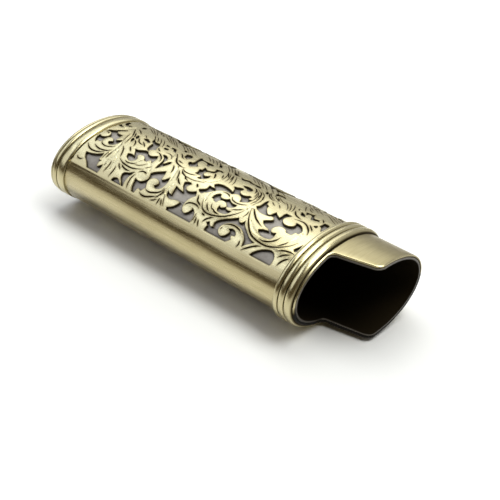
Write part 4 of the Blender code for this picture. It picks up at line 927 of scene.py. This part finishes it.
def inner_skin(flat, border, fill):
    """Inner skin with the same borders as the outer one, and a few points between them."""
    rim = np.unique(border)
    rank = {int(point): i for i, point in enumerate(rim)}
    plan = FlatDrawing()
    plan.add_points(flat[rim])
    plan.edges = [(rank[int(a)], rank[int(b)]) for a, b in border]
    plan.add_points(fill)
    places, corners, sources = plan.triangles()
    stands_for = {original: k for k, source in enumerate(sources) for original in source}
    middle = places[corners].mean(axis=1)
    crossings = sum(inside(flat[loop], middle).astype(int) for loop in border_loops(border))
    return places, corners[crossings % 2 == 1], {int(point): stands_for[rank[int(point)]] for point in rim}


# A pocket's wall is stained, most at its foot, and a wall of the free edge is black at its foot.
# On the lower half, the skin beside the free edge is painted dark as the shade under the case, and
# this painted shade fades out near the two borders that the lower half shares with the upper one.
wall_top_stain = 0.5
wall_foot_stain = 0.88
free_edge_touch = 0.05
under_shade_ramp = 2.0


def bent_shell(name, flat, triangles, depth, lining_depth, stain_and_shade, brink_stains_and_shade, fill):
    """Closed shell bent from a flat sheet: its upper half and its mirror image.

    Each half has a worked outer skin, a plain lining and the walls between them. For each corner of
    the upper outer skin a darkening is given, below zero where the skin is polished, and for the free
    edge of the upper and the lower half a darkening of its wall; the sleeve's lower one is painted
    shade. The lower half's skin beside its free edge is painted dark as shade. The shell comes back
    with a mark on each face of the lining.
    """
    sides = np.concatenate([triangles[:, [0, 1]], triangles[:, [1, 2]], triangles[:, [2, 0]]])
    _, first, counts = np.unique(np.sort(sides, axis=1), axis=0, return_index=True, return_counts=True)
    border = sides[first[counts == 1]]
    lining_flat, lining, partner = inner_skin(flat, border, fill)
    count = len(flat)
    walls = np.array([
        (a, b, count + partner[int(b)], count + partner[int(a)]) for a, b in border
        if not on_mirror_line(flat[[a, b]]).all()])
    places = np.vstack([flat, lining_flat])
    upper = np.vstack([wrapped(flat[:, 0], flat[:, 1], depth),
                       wrapped(lining_flat[:, 0], lining_flat[:, 1], lining_depth)])
    lower = upper * (1, 1, -1) + (0, 0, 2 * axis_height * mm)
    twin = np.arange(len(places)) + np.where(on_mirror_line(places), 0, len(places))
    parts = [triangles[:, ::-1], lining + count, walls]
    parts += [twin[part][:, ::-1] for part in parts]
    corners = np.concatenate([part.ravel() for part in parts])
    used, corners = np.unique(corners, return_inverse=True)
    sizes = np.concatenate([np.full(len(part), part.shape[1]) for part in parts])
    faces = np.split(corners, np.cumsum(sizes)[:-1])
    mesh = bpy.data.meshes.new(name)
    mesh.from_pydata(np.vstack([upper, lower])[used].tolist(), [], [face.tolist() for face in faces])

    at_free_edge = distances(edge_tree, lining_flat[walls[:, 2] - count])[:, None] < free_edge_touch
    pocket_wall = (wall_top_stain, wall_top_stain, wall_foot_stain, wall_foot_stain)
    upper_wall, lower_wall = (np.where(at_free_edge, (brink, brink, 1.0, 1.0), pocket_wall)
                              for brink in brink_stains_and_shade)
    # Painted shade: the lower half's skin near its free edge is made dark, as the shade under the case
    under = np.clip(to_mirror_line(flat) / under_shade_ramp, 0, 1)
    under *= np.interp(distances(edge_tree, flat), under_lip_shade_widths, (1, 0))
    under_skin = np.where(under[triangles] > 0, under[triangles], stain_and_shade)
    dark_lining = np.ones(lining.shape)
    stains_and_shade = [stain_and_shade[:, ::-1], dark_lining, upper_wall, under_skin, dark_lining, lower_wall[:, ::-1]]
    stains_and_shade = np.concatenate([part.ravel() for part in stains_and_shade]).astype(np.float32)
    # This attribute holds oxide and, at some places, painted shade
    for attribute, values in (("stain_and_shade", np.maximum(stains_and_shade, 0)), ("polish", np.maximum(-stains_and_shade, 0))):
        mesh.attributes.new(attribute, "FLOAT", "CORNER").data.foreach_set("value", values)
    made = bpy.data.objects.new(name, mesh)
    bpy.context.scene.collection.objects.link(made)
    return made, np.concatenate([np.full(len(part), k % 3 == 1) for k, part in enumerate(parts)])


def finish_smooth(made, angle):
    """Smooth shading but for the sharp edges, with only this object selected."""
    bpy.ops.object.select_all(action="DESELECT")
    made.select_set(True)
    bpy.context.view_layer.objects.active = made
    bpy.ops.object.shade_smooth_by_angle(angle=math.radians(angle))


# The plain lining of a shell needs only a few points between its borders, clear of them
lining_spacing = 1.1
lining_insets = (0.5, 0.3)
edge_clearance = 0.4
pocket_clearance = 0.35


def lining_points(start, border):
    """Points for the lining of a shell that starts here and has this border."""
    inset, top_inset = lining_insets
    points = even_fill(lining_spacing, (start + inset, inset), (case_length - inset, half_girth - top_inset))
    return points[inside(border, points) & (distances(edge_tree, points) > edge_clearance)]


sleeve_fill = lining_points(sleeve_start, sheet_border)
sleeve_fill = sleeve_fill[distances(pocket_tree, sleeve_fill) > pocket_clearance]
sleeve_fill = sleeve_fill[~in_a_pocket(sleeve_fill)]

# Plating stays dark where the polishing wheel doesn't reach: in the cuts, down the walls, and more
# faintly beside them. The dark rim round each pocket is that oxide and painted shade, and the seam in
# front of the collar is painted dark as shadow. The open parts of the leaves and the rolled lip are
# rubbed bright.
patina_reach = 0.18
patina_stain = 0.28
cut_stain = 0.78
cut_floor_stain = 0.12
rim_stain_and_shade = 0.72
hood_stain = 0.24
seam_painted_shadow = 0.95
lip_polish = -1.0
# Sleeve's free edge: a worn light wall on the upper half, a wall painted black as shade on the lower half
brink_stains_and_shade = (0.1, 1.0)
under_collar = 1.0
ring_margin = 0.01
sheet_smooth_angle = 33
cut_gap = past_cuts(flat)
in_cut = past_cuts(middle) < 0
patina = np.exp(-(np.minimum(np.maximum(0, cut_gap), pocket_gap) / patina_reach) ** 2)[triangles]
field_border = panel_edge - np.abs(flat[triangles][:, :, 1] - quarter_arc)
rubbed = np.clip(field_border / pillow_reach, 0, 1) * (flat[triangles][:, :, 0] < collar_start)
stain_and_shade = np.where(in_cut[:, None], cut_stain + cut_floor_stain * (cut[triangles] > 0), 0.0)
# Dark rim round each pocket: oxide and painted shade along its edge
stain_and_shade = np.maximum(stain_and_shade, rim_stain_and_shade * np.clip(1 - pocket_gap[triangles] / edge_widths[1], 0, 1))
stain_and_shade = np.where(stain_and_shade > 0, stain_and_shade, rubbed * (patina_stain * patina - (1 - patina)))
past_collar = flat[triangles][:, :, 0] - collar_end
on_hood = past_collar > -under_collar
# Painted shadow in the seam in front of the collar, then the hood's own plating
stain_and_shade = np.where(on_hood, np.interp(past_collar, seam_shadow_widths, (seam_painted_shadow, hood_stain)), stain_and_shade)
stain_and_shade = np.where(on_hood & (lip_gap[triangles] < lip_widths[2] - ring_margin), lip_polish, stain_and_shade)
sleeve, _ = bent_shell(
    "brass_sleeve", flat, triangles, depth, sleeve_wall, stain_and_shade, brink_stains_and_shade, sleeve_fill)
finish_smooth(sleeve, sheet_smooth_angle)


def linear(code):
    """Linear colour from an sRGB hex value."""
    values = [int(code[i:i + 2], 16) / 255 for i in (0, 2, 4)]
    return (*[v / 12.92 if v <= 0.04045 else ((v + 0.055) / 1.055) ** 2.4 for v in values], 1.0)


def add_node(tree, kind, inputs=(), **settings):
    """Node with its settings; an input is a value or the output of another node."""
    made = tree.nodes.new(kind)
    for name, value in settings.items():
        setattr(made, name, value)
    for socket, value in dict(inputs).items():
        if isinstance(value, bpy.types.NodeSocket):
            tree.links.new(value, made.inputs[socket])
        else:
            made.inputs[socket].default_value = value
    return made


# What shows in the plating: broad patches of thicker and thinner brass, and grain, drawn coarser
# than it is so that it shows. Up to the oxide level a stain is brown, and past it nearly black: where
# the sheet was never rubbed, and where shade is painted. Oxide is rougher than the brass that it lies on.
plating_patch = 9 * mm
plating_grain = 0.5 * mm
grain_share = 0.15
brush_depth = 0.03 * mm
oxide_level = 0.9
oxide_roughness = 0.35


def new_metal(name, metallic):
    """New material with its node tree, its shader and the object's coordinates."""
    made = bpy.data.materials.new(name)
    made.use_nodes = True
    shader = made.node_tree.nodes["Principled BSDF"]
    shader.inputs["Metallic"].default_value = metallic
    place = add_node(made.node_tree, "ShaderNodeTexCoord").outputs["Object"]
    return made, made.node_tree, shader, place


def antique_brass(name, brush_mark):
    """Antique brass: plated brass, brushed one way, darkened, then polished back on its high parts.

    The eye sees pale straw-gold metal with fine streaks, and brown-black oxide in every cut. The size
    of a brush mark is given along x, y and z.
    """
    made, tree, shader, place = new_metal(name, 1.0)
    along = add_node(tree, "ShaderNodeMapping", {
        "Vector": place, "Scale": [1 / size for size in brush_mark]})
    streaks = add_node(tree, "ShaderNodeTexNoise", {
        "Vector": along.outputs[0], "Scale": 1.0, "Detail": 3.0, "Roughness": 0.6})
    clouds = add_node(tree, "ShaderNodeTexNoise", {
        "Vector": place, "Scale": 1 / plating_patch, "Detail": 2.0})
    grain = add_node(tree, "ShaderNodeTexNoise", {
        "Vector": place, "Scale": 1 / plating_grain, "Detail": 3.0})
    stained_and_shaded = add_node(tree, "ShaderNodeAttribute", attribute_name="stain_and_shade")
    tone = add_node(tree, "ShaderNodeMix", {
        "Factor": streaks.outputs[0], "A": linear("A89B70"), "B": linear("E2D6AB")}, data_type="RGBA")
    patch = add_node(tree, "ShaderNodeMapRange", {
        "Value": clouds.outputs[0], "From Min": 0.35, "From Max": 0.75, "To Max": 0.35})
    aged = add_node(tree, "ShaderNodeMix", {
        "Factor": patch.outputs[0], "A": tone.outputs[2], "B": linear("AC9F74")}, data_type="RGBA")
    polished = add_node(tree, "ShaderNodeAttribute", attribute_name="polish")
    worn = add_node(tree, "ShaderNodeMix", {
        "Factor": polished.outputs["Fac"], "A": aged.outputs[2], "B": linear("D0C69D")}, data_type="RGBA")
    deep = add_node(tree, "ShaderNodeMapRange", {"Value": stained_and_shaded.outputs["Fac"], "From Max": oxide_level})
    brown = add_node(tree, "ShaderNodeMix", {
        "Factor": deep.outputs[0], "A": worn.outputs[2], "B": linear("3A2F16")}, data_type="RGBA")
    # Nearly black past the oxide level: unrubbed plating, and painted shade
    unrubbed_and_shade = add_node(tree, "ShaderNodeMapRange", {
        "Value": stained_and_shaded.outputs["Fac"], "From Min": oxide_level})
    colour = add_node(tree, "ShaderNodeMix", {
        "Factor": unrubbed_and_shade.outputs[0], "A": brown.outputs[2], "B": linear("262522")}, data_type="RGBA")
    tree.links.new(colour.outputs[2], shader.inputs["Base Color"])
    rough = add_node(tree, "ShaderNodeMapRange", {
        "Value": streaks.outputs[0], "From Min": 0.3, "From Max": 0.7, "To Min": 0.20, "To Max": 0.30})
    rougher = add_node(tree, "ShaderNodeMath", {
        0: deep.outputs[0], 1: oxide_roughness, 2: rough.outputs[0]}, operation="MULTIPLY_ADD")
    tree.links.new(rougher.outputs[0], shader.inputs["Roughness"])
    mixed = add_node(tree, "ShaderNodeMath", {
        0: grain.outputs[0], 1: grain_share, 2: streaks.outputs[0]}, operation="MULTIPLY_ADD")
    bump = add_node(tree, "ShaderNodeBump", {
        "Height": mixed.outputs[0], "Strength": 0.35, "Distance": brush_depth})
    tree.links.new(bump.outputs[0], shader.inputs["Normal"])
    return made


# Brush marks run along the body, and round the hood and the rings. Real ones are under 0.1 mm wide
# and are drawn wider, so that they show.
brush_width = 0.3 * mm
body_brush_length = 9 * mm
round_brush_length = 6 * mm
sleeve.data.materials.append(antique_brass(
    "antique_brass_brushed_along", (body_brush_length, brush_width, brush_width)))
round_brushed = antique_brass(
    "antique_brass_brushed_round", (brush_width, round_brush_length, round_brush_length))
sleeve.data.materials.append(round_brushed)
centres = np.empty(3 * len(sleeve.data.polygons), dtype=np.float32)
sleeve.data.polygons.foreach_get("center", centres)
on_hood = centres[::3] > case_rear + (collar_start + collar_cover[1]) * mm
sleeve.data.polygons.foreach_set("material_index", on_hood.astype(np.int32))
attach(sleeve, "root")
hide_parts("outer_sleeve")

# Liner: a plain grey tube of blackened steel inside the brass. It shows as the flat ground of every
# pocket and as the inner lip of the hood, and its bore is dull black. It is pressed in from the mouth.
liner_start = (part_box("liner")[0].x - case_rear) / mm
ground_gap = 0.04
liner_wall = 0.45
liner_depth = sleeve_wall + ground_gap
liner_lip = 0.12
liner_border = np.vstack([[(liner_start, 0.0), (liner_start, half_girth)], free_edge])

# The ground is drawn more closely near the pockets' walls, where it is stained and painted darker as
# shade. Where the sleeve covers it, it is dark all over but for its lip.
ground_spacing = 0.6
ground_widths = (0.12, 0.30, 0.55)
ground_shade_reach = 0.24
ground_foot_stain_and_shade = 0.8
clean_lip_width = 1.0
liner_brink_stains = (0.5, 0.6)

plan = FlatDrawing()
add_strip_lines(plan, liner_start, (quarter_arc, quarter_arc), ground_spacing)
for ring in lip_rings[:2]:
    plan.add_line(ring)
for pocket in pockets:
    plan.add_line(pocket, closed=True)
ground_fill = rows_of_points(bend_arcs(ground_spacing), ground_spacing, sleeve_start, collar_start)
ground_fill = ground_fill[distances(pocket_tree, ground_fill) > ground_widths[2]]
ground_places = np.vstack([rings_beside_pockets(ground_widths), ground_fill])
plan.add_points(ground_places[in_a_pocket(ground_places)])
liner_flat, liner_triangles, _ = plan.triangles()
liner_triangles = liner_triangles[inside(liner_border, liner_flat[liner_triangles].mean(axis=1))]
lip_gap = distances(edge_tree, liner_flat)
liner_depths = liner_depth + liner_lip * np.maximum(0, 1 - lip_gap / lip_widths[1]) ** 2
# Stain and painted shade on the ground, darkest at the foot of each pocket's wall
ground_stain_and_shade = ground_foot_stain_and_shade * np.exp(-distances(pocket_tree, liner_flat) / ground_shade_reach)
ground_stain_and_shade = np.where(in_a_pocket(liner_flat) | (lip_gap < clean_lip_width), ground_stain_and_shade, 1.0)
liner, is_bore = bent_shell(
    "steel_liner", liner_flat, liner_triangles, liner_depths, liner_depth + liner_wall,
    ground_stain_and_shade[liner_triangles], liner_brink_stains, lining_points(liner_start, liner_border))
finish_smooth(liner, sheet_smooth_angle)

# Patches and grain of the oxide, the grain drawn coarse enough to show
oxide_patch = 4 * mm
oxide_grain = 0.4 * mm
oxide_grain_share = 0.5
oxide_depth = 0.02 * mm
roughness_spread = (0.06, 0.08)


def grey_steel(name, light, dark, metallic, roughness):
    """Steel under a thin grey oxide: matt, a little cloudy, with a fine grain."""
    made, tree, shader, place = new_metal(name, metallic)
    grain = add_node(tree, "ShaderNodeTexNoise", {"Vector": place, "Scale": 1 / oxide_grain, "Detail": 4.0})
    clouds = add_node(tree, "ShaderNodeTexNoise", {
        "Vector": place, "Scale": 1 / oxide_patch, "Detail": 2.0})
    both = add_node(tree, "ShaderNodeMath", {
        0: grain.outputs[0], 1: oxide_grain_share, 2: clouds.outputs[0]}, operation="MULTIPLY_ADD")
    mixed = add_node(tree, "ShaderNodeMapRange", {"Value": both.outputs[0], "From Min": 0.5})
    clean = add_node(tree, "ShaderNodeMix", {
        "Factor": mixed.outputs[0], "A": linear(dark), "B": linear(light)}, data_type="RGBA")
    stained_and_shaded = add_node(tree, "ShaderNodeAttribute", attribute_name="stain_and_shade")
    colour = add_node(tree, "ShaderNodeMix", {
        "Factor": stained_and_shaded.outputs["Fac"], "A": clean.outputs[2], "B": linear("2B2418")}, data_type="RGBA")
    tree.links.new(colour.outputs[2], shader.inputs["Base Color"])
    rough = add_node(tree, "ShaderNodeMapRange", {
        "Value": grain.outputs[0],
        "To Min": roughness - roughness_spread[0], "To Max": roughness + roughness_spread[1]})
    tree.links.new(rough.outputs[0], shader.inputs["Roughness"])
    bump = add_node(tree, "ShaderNodeBump", {
        "Height": grain.outputs[0], "Strength": 0.3, "Distance": oxide_depth})
    tree.links.new(bump.outputs[0], shader.inputs["Normal"])
    return made


liner.data.materials.append(grey_steel("grey_oxide_steel", "A69F95", "847E75", 0.5, 0.36))
liner.data.materials.append(grey_steel("black_oxide_steel", "0B0B0B", "050505", 1.0, 0.7))
liner.data.polygons.foreach_set("material_index", is_bore.astype(np.int32))
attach(liner, "root")
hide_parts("liner")

# Collar: a ring pressed from brass sheet with three round beads, plated and brushed round like the
# hood. It is pushed over the sleeve as far as the hood and soldered there.
ring_sides = 288
section_arcs = curve_arc[np.linspace(0, len(curve_arc) - 1, ring_sides + 1).astype(int)[:-1]]
bead_steps = 14
bead_roundness = 0.6
ring_smooth_angle = 50


def bead(low, high, feet, crown, roundness=(bead_roundness, bead_roundness)):
    """Profile of one bead: its places along the case and its stand over the skin.

    The feet and the roundness are given for its rear and its front half. A roundness of 1 is a sine
    curve, and less makes the bead fuller.
    """
    points = []
    for step in range(bead_steps + 1):
        turn = math.pi * step / bead_steps
        half = 0 if turn < math.pi / 2 else 1
        stand = feet[half] + (crown - feet[half]) * math.sin(turn) ** roundness[half]
        points.append(((low + high) / 2 - (high - low) / 2 * math.cos(turn), stand))
    return points


def swept_ring(name, start, profile, bore_depth):
    """Ring made by extruding a circle edge by edge along the profile, each loop set on the section."""
    loops = [(start + along, -stand) for along, stand in profile]
    loops = [(loops[0][0], bore_depth)] + loops + [(loops[-1][0], bore_depth)]
    bpy.ops.object.select_all(action="DESELECT")
    bpy.ops.mesh.primitive_circle_add(vertices=ring_sides, radius=body_width / 2 * mm, fill_type="NOTHING")
    made = bpy.context.object
    made.name = made.data.name = name
    rings = [wrapped(x, section_arcs, depth) for x, depth in loops]
    for vert, place in zip(made.data.vertices, rings[0]):
        vert.co = place
    bpy.ops.object.mode_set(mode="EDIT")
    bpy.ops.mesh.select_all(action="SELECT")
    for _ in rings[1:]:
        bpy.ops.mesh.extrude_region_move()
    bpy.ops.object.mode_set(mode="OBJECT")
    made.data.vertices.foreach_set("co", np.vstack(rings).ravel())
    bpy.ops.object.mode_set(mode="EDIT")
    bpy.ops.mesh.select_all(action="DESELECT")
    bpy.ops.mesh.select_non_manifold()
    bpy.ops.mesh.bridge_edge_loops()
    bpy.ops.mesh.select_all(action="SELECT")
    bpy.ops.mesh.normals_make_consistent(inside=False)
    bpy.ops.object.mode_set(mode="OBJECT")
    return made


groove_stain = 0.9
groove_power = 3
polish_fade = 3


def stain_and_shade_ring(made, profile, foot, crown, end_stain_and_shade):
    """Dark plating left in the grooves of a ring, polished crowns, and painted shadow at the collar's front
    foot.
    """
    depth = [min(1.0, max(0.0, (crown - stand) / (crown - foot))) for _, stand in profile]
    stains_and_shade = [1.0] + [groove_stain * share ** groove_power for share in depth[:-1]] + [end_stain_and_shade, 1.0]
    values = np.repeat(np.array(stains_and_shade, dtype=np.float32), ring_sides)
    for name, shares in (("stain_and_shade", values), ("polish", np.maximum(0, 1 - polish_fade * values))):
        attribute = made.data.attributes.new(name, "FLOAT", "POINT")
        attribute.data.foreach_set("value", shares)


# The front bead runs down to the hood, where the seam under it is painted dark as shadow
collar_crown = 0.80
collar_foot = 0.32
seam_foot = 0.08
end_stand = 0.05
skin_gap = 0.02
# The collar's front foot is painted dark as the shadow of the seam
collar_end_shadow = 0.9
front_roundness = (bead_roundness, 1.0)
collar_beads = ((0.35, 1.46), (1.60, 2.94))
front_bead = (3.08, 4.80)
collar_profile = [(collar_beads[0][0], end_stand)]
for rear, front in collar_beads:
    collar_profile += bead(rear, front, (collar_foot, collar_foot), collar_crown)
collar_profile += bead(*front_bead, (collar_foot, seam_foot), collar_crown, front_roundness)
collar_profile += [(front_bead[1], end_stand)]
collar = swept_ring("brass_collar", collar_start, collar_profile, -skin_gap)
stain_and_shade_ring(collar, collar_profile, collar_foot, collar_crown, collar_end_shadow)
finish_smooth(collar, ring_smooth_angle)
collar.data.materials.append(round_brushed)
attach(collar, "root")
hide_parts("top_collar")

# Base band: a ring pressed from the same brass sheet, with a rounded rear edge, one narrow bead and
# one wide one. It binds the closed end and is soldered to the sleeve.
band_start = (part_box("base_band")[0].x - case_rear) / mm
band_bore_depth = 0.5
band_crown = 0.29
band_foot = -0.08
band_end_stain = 0.1
rounded_rear = [(0.0, -0.27), (0.06, -0.10), (0.18, 0.05), (0.36, 0.13), (0.55, 0.14), (0.72, 0.08)]
band_beads = ((0.78, 1.96), (2.10, 4.30))
band_profile = list(rounded_rear)
for rear, front in band_beads:
    band_profile += bead(rear, front, (band_foot, band_foot), band_crown)
band = swept_ring("brass_base_band", band_start, band_profile, band_bore_depth)
stain_and_shade_ring(band, band_profile, band_foot, band_crown, band_end_stain)
finish_smooth(band, ring_smooth_angle)
band.data.materials.append(round_brushed)
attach(band, "root")
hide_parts("base_band")

# Base plate: a flat oval blank of the same brass that closes the end, with its rear edge rounded.
# It is let into the band and soldered flush.
plate_low, plate_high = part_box("base_plate")
plate_thickness = (plate_high.x - plate_low.x) / mm
plate_gap = 0.05
plate_depth = band_bore_depth + plate_gap
plate_round = 0.12
plate_smooth_angle = 35
rear_touch = 0.001 * mm
bpy.ops.object.select_all(action="DESELECT")
bpy.ops.mesh.primitive_circle_add(vertices=ring_sides, radius=body_width / 2 * mm, fill_type="NGON")
plate = bpy.context.object
plate.name = plate.data.name = "brass_base_plate"
for vert, place in zip(plate.data.vertices, wrapped(0.0, section_arcs, plate_depth)):
    vert.co = place
bpy.ops.object.mode_set(mode="EDIT")
bpy.ops.mesh.select_all(action="SELECT")
bpy.ops.mesh.extrude_region_move(TRANSFORM_OT_translate={"value": (plate_thickness * mm, 0, 0)})
bpy.ops.mesh.select_all(action="SELECT")
bpy.ops.mesh.normals_make_consistent(inside=False)
bpy.ops.mesh.select_all(action="DESELECT")
bpy.ops.object.mode_set(mode="OBJECT")
rear = case_rear + rear_touch
for edge in plate.data.edges:
    edge.select = all(plate.data.vertices[v].co.x < rear for v in edge.vertices)
bpy.ops.object.mode_set(mode="EDIT")
bpy.ops.mesh.select_mode(type="EDGE")
bpy.ops.mesh.bevel(offset=plate_round * mm, segments=4, affect="EDGES")
bpy.ops.object.mode_set(mode="OBJECT")
finish_smooth(plate, plate_smooth_angle)
plate.data.materials.append(round_brushed)
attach(plate, "root")
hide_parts("base_plate")

# Studio: a white table that is bright round the case and greyer further off, under softboxes in a dark
# room. For the camera alone the grey part is lifted, so that the table runs out to white.
floor_size = 3.0
bpy.ops.mesh.primitive_plane_add(size=floor_size, location=(0, 0, 0))
floor = bpy.context.object
floor.name = "studio_floor"
floor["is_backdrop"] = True
table = bpy.data.materials.new("white_table")
table.use_nodes = True
tree = table.node_tree
tree.nodes.remove(tree.nodes["Principled BSDF"])
place = add_node(tree, "ShaderNodeTexCoord").outputs["Object"]
# The bright patch is longer along the case
oval = add_node(tree, "ShaderNodeMapping", {"Vector": place, "Scale": (0.45, 1, 1)})
away = add_node(tree, "ShaderNodeVectorMath", {0: oval.outputs[0]}, operation="LENGTH")
outer_table = add_node(tree, "ShaderNodeMapRange", {
    "Value": away.outputs["Value"], "From Min": 0.02, "From Max": 0.12})
# Behind the case the table stays bright for longer
behind = add_node(tree, "ShaderNodeMapping", {"Vector": oval.outputs[0], "Location": (0, -0.03, 0)})
beyond = add_node(tree, "ShaderNodeVectorMath", {0: behind.outputs[0]}, operation="LENGTH")
greyer = add_node(tree, "ShaderNodeMapRange", {
    "Value": beyond.outputs["Value"], "From Min": 0.045, "From Max": 0.18})
white = add_node(tree, "ShaderNodeMix", {
    "Factor": greyer.outputs[0], "A": linear("FAFAFA"), "B": linear("887C68")}, data_type="RGBA")
diffuse = add_node(tree, "ShaderNodeBsdfDiffuse", {"Color": white.outputs[2]})
rays = add_node(tree, "ShaderNodeLightPath")
lift = add_node(tree, "ShaderNodeMath", {
    0: rays.outputs["Is Camera Ray"], 1: outer_table.outputs[0]}, operation="MULTIPLY")
glow = add_node(tree, "ShaderNodeEmission", {"Color": linear("FFFFFF"), "Strength": lift.outputs[0]})
both = add_node(tree, "ShaderNodeAddShader", {0: diffuse.outputs[0], 1: glow.outputs[0]})
tree.links.new(both.outputs[0], tree.nodes["Material Output"].inputs["Surface"])
floor.data.materials.append(table)

world = bpy.data.worlds.new("studio")
bpy.context.scene.world = world
world.use_nodes = True
tree = world.node_tree
# A pale wall behind the table and a dark room on the other sides. The camera alone sees white.
dark_room = (0.080, 0.060, 0.030, 1)
pale_wall = (0.54, 0.54, 0.53, 1)
direction = add_node(tree, "ShaderNodeTexCoord").outputs["Generated"]
back = add_node(tree, "ShaderNodeSeparateXYZ", {"Vector": direction}).outputs["Y"]
side = add_node(tree, "ShaderNodeMapRange", {"Value": back, "From Min": 0.2, "From Max": 0.7})
room = add_node(tree, "ShaderNodeMix", {
    "Factor": side.outputs[0], "A": dark_room, "B": pale_wall}, data_type="RGBA")
rays = add_node(tree, "ShaderNodeLightPath")
seen = add_node(tree, "ShaderNodeMix", {
    "Factor": rays.outputs["Is Camera Ray"], "A": room.outputs[2], "B": (1, 1, 1, 1)}, data_type="RGBA")
tree.links.new(seen.outputs[2], tree.nodes["Background"].inputs["Color"])

# Softboxes that face the case: name, turn and rise of the direction in degrees, distance, width and
# height in metres, how bright it looks, and its tint
neutral_white = (0.98, 1.0, 0.97)
cool_white = (0.93, 0.98, 1.08)
sky_white = (0.92, 1.0, 1.14)
softboxes = [
    ("overhead_softbox", 84, 78, 0.62, 0.66, 0.34, 3.5, neutral_white),
    ("overhead_right_softbox", 20, 72, 0.70, 0.40, 0.40, 2.0, neutral_white),
    ("right_softbox", 10, 55, 0.75, 0.40, 0.30, 1.5, neutral_white),
    ("left_softbox", 160, 47, 0.75, 0.62, 0.26, 1.5, sky_white),
    ("upper_left_softbox", 210, 55.5, 0.75, 0.28, 0.15, 1.8, sky_white),
    ("front_left_softbox", 220, 35, 0.75, 0.54, 0.46, 1.0, cool_white),
    ("back_softbox", 124, 37, 0.75, 0.36, 0.34, 1.0, neutral_white),
]
for name, turn, rise, distance, width, height, level, tint in softboxes:
    turn = math.radians(turn)
    rise = math.radians(rise)
    way = Vector((math.cos(rise) * math.cos(turn), math.cos(rise) * math.sin(turn), math.sin(rise)))
    facing = way.to_track_quat("Z", "Y").to_euler()
    bpy.ops.object.light_add(type="AREA", location=way * distance, rotation=facing)
    light = bpy.context.object
    light.name = light.data.name = name
    light.data.shape = "RECTANGLE"
    light.data.size = width
    light.data.size_y = height
    light.data.energy = level * math.pi * width * height
    light.data.color = tint

low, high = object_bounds()
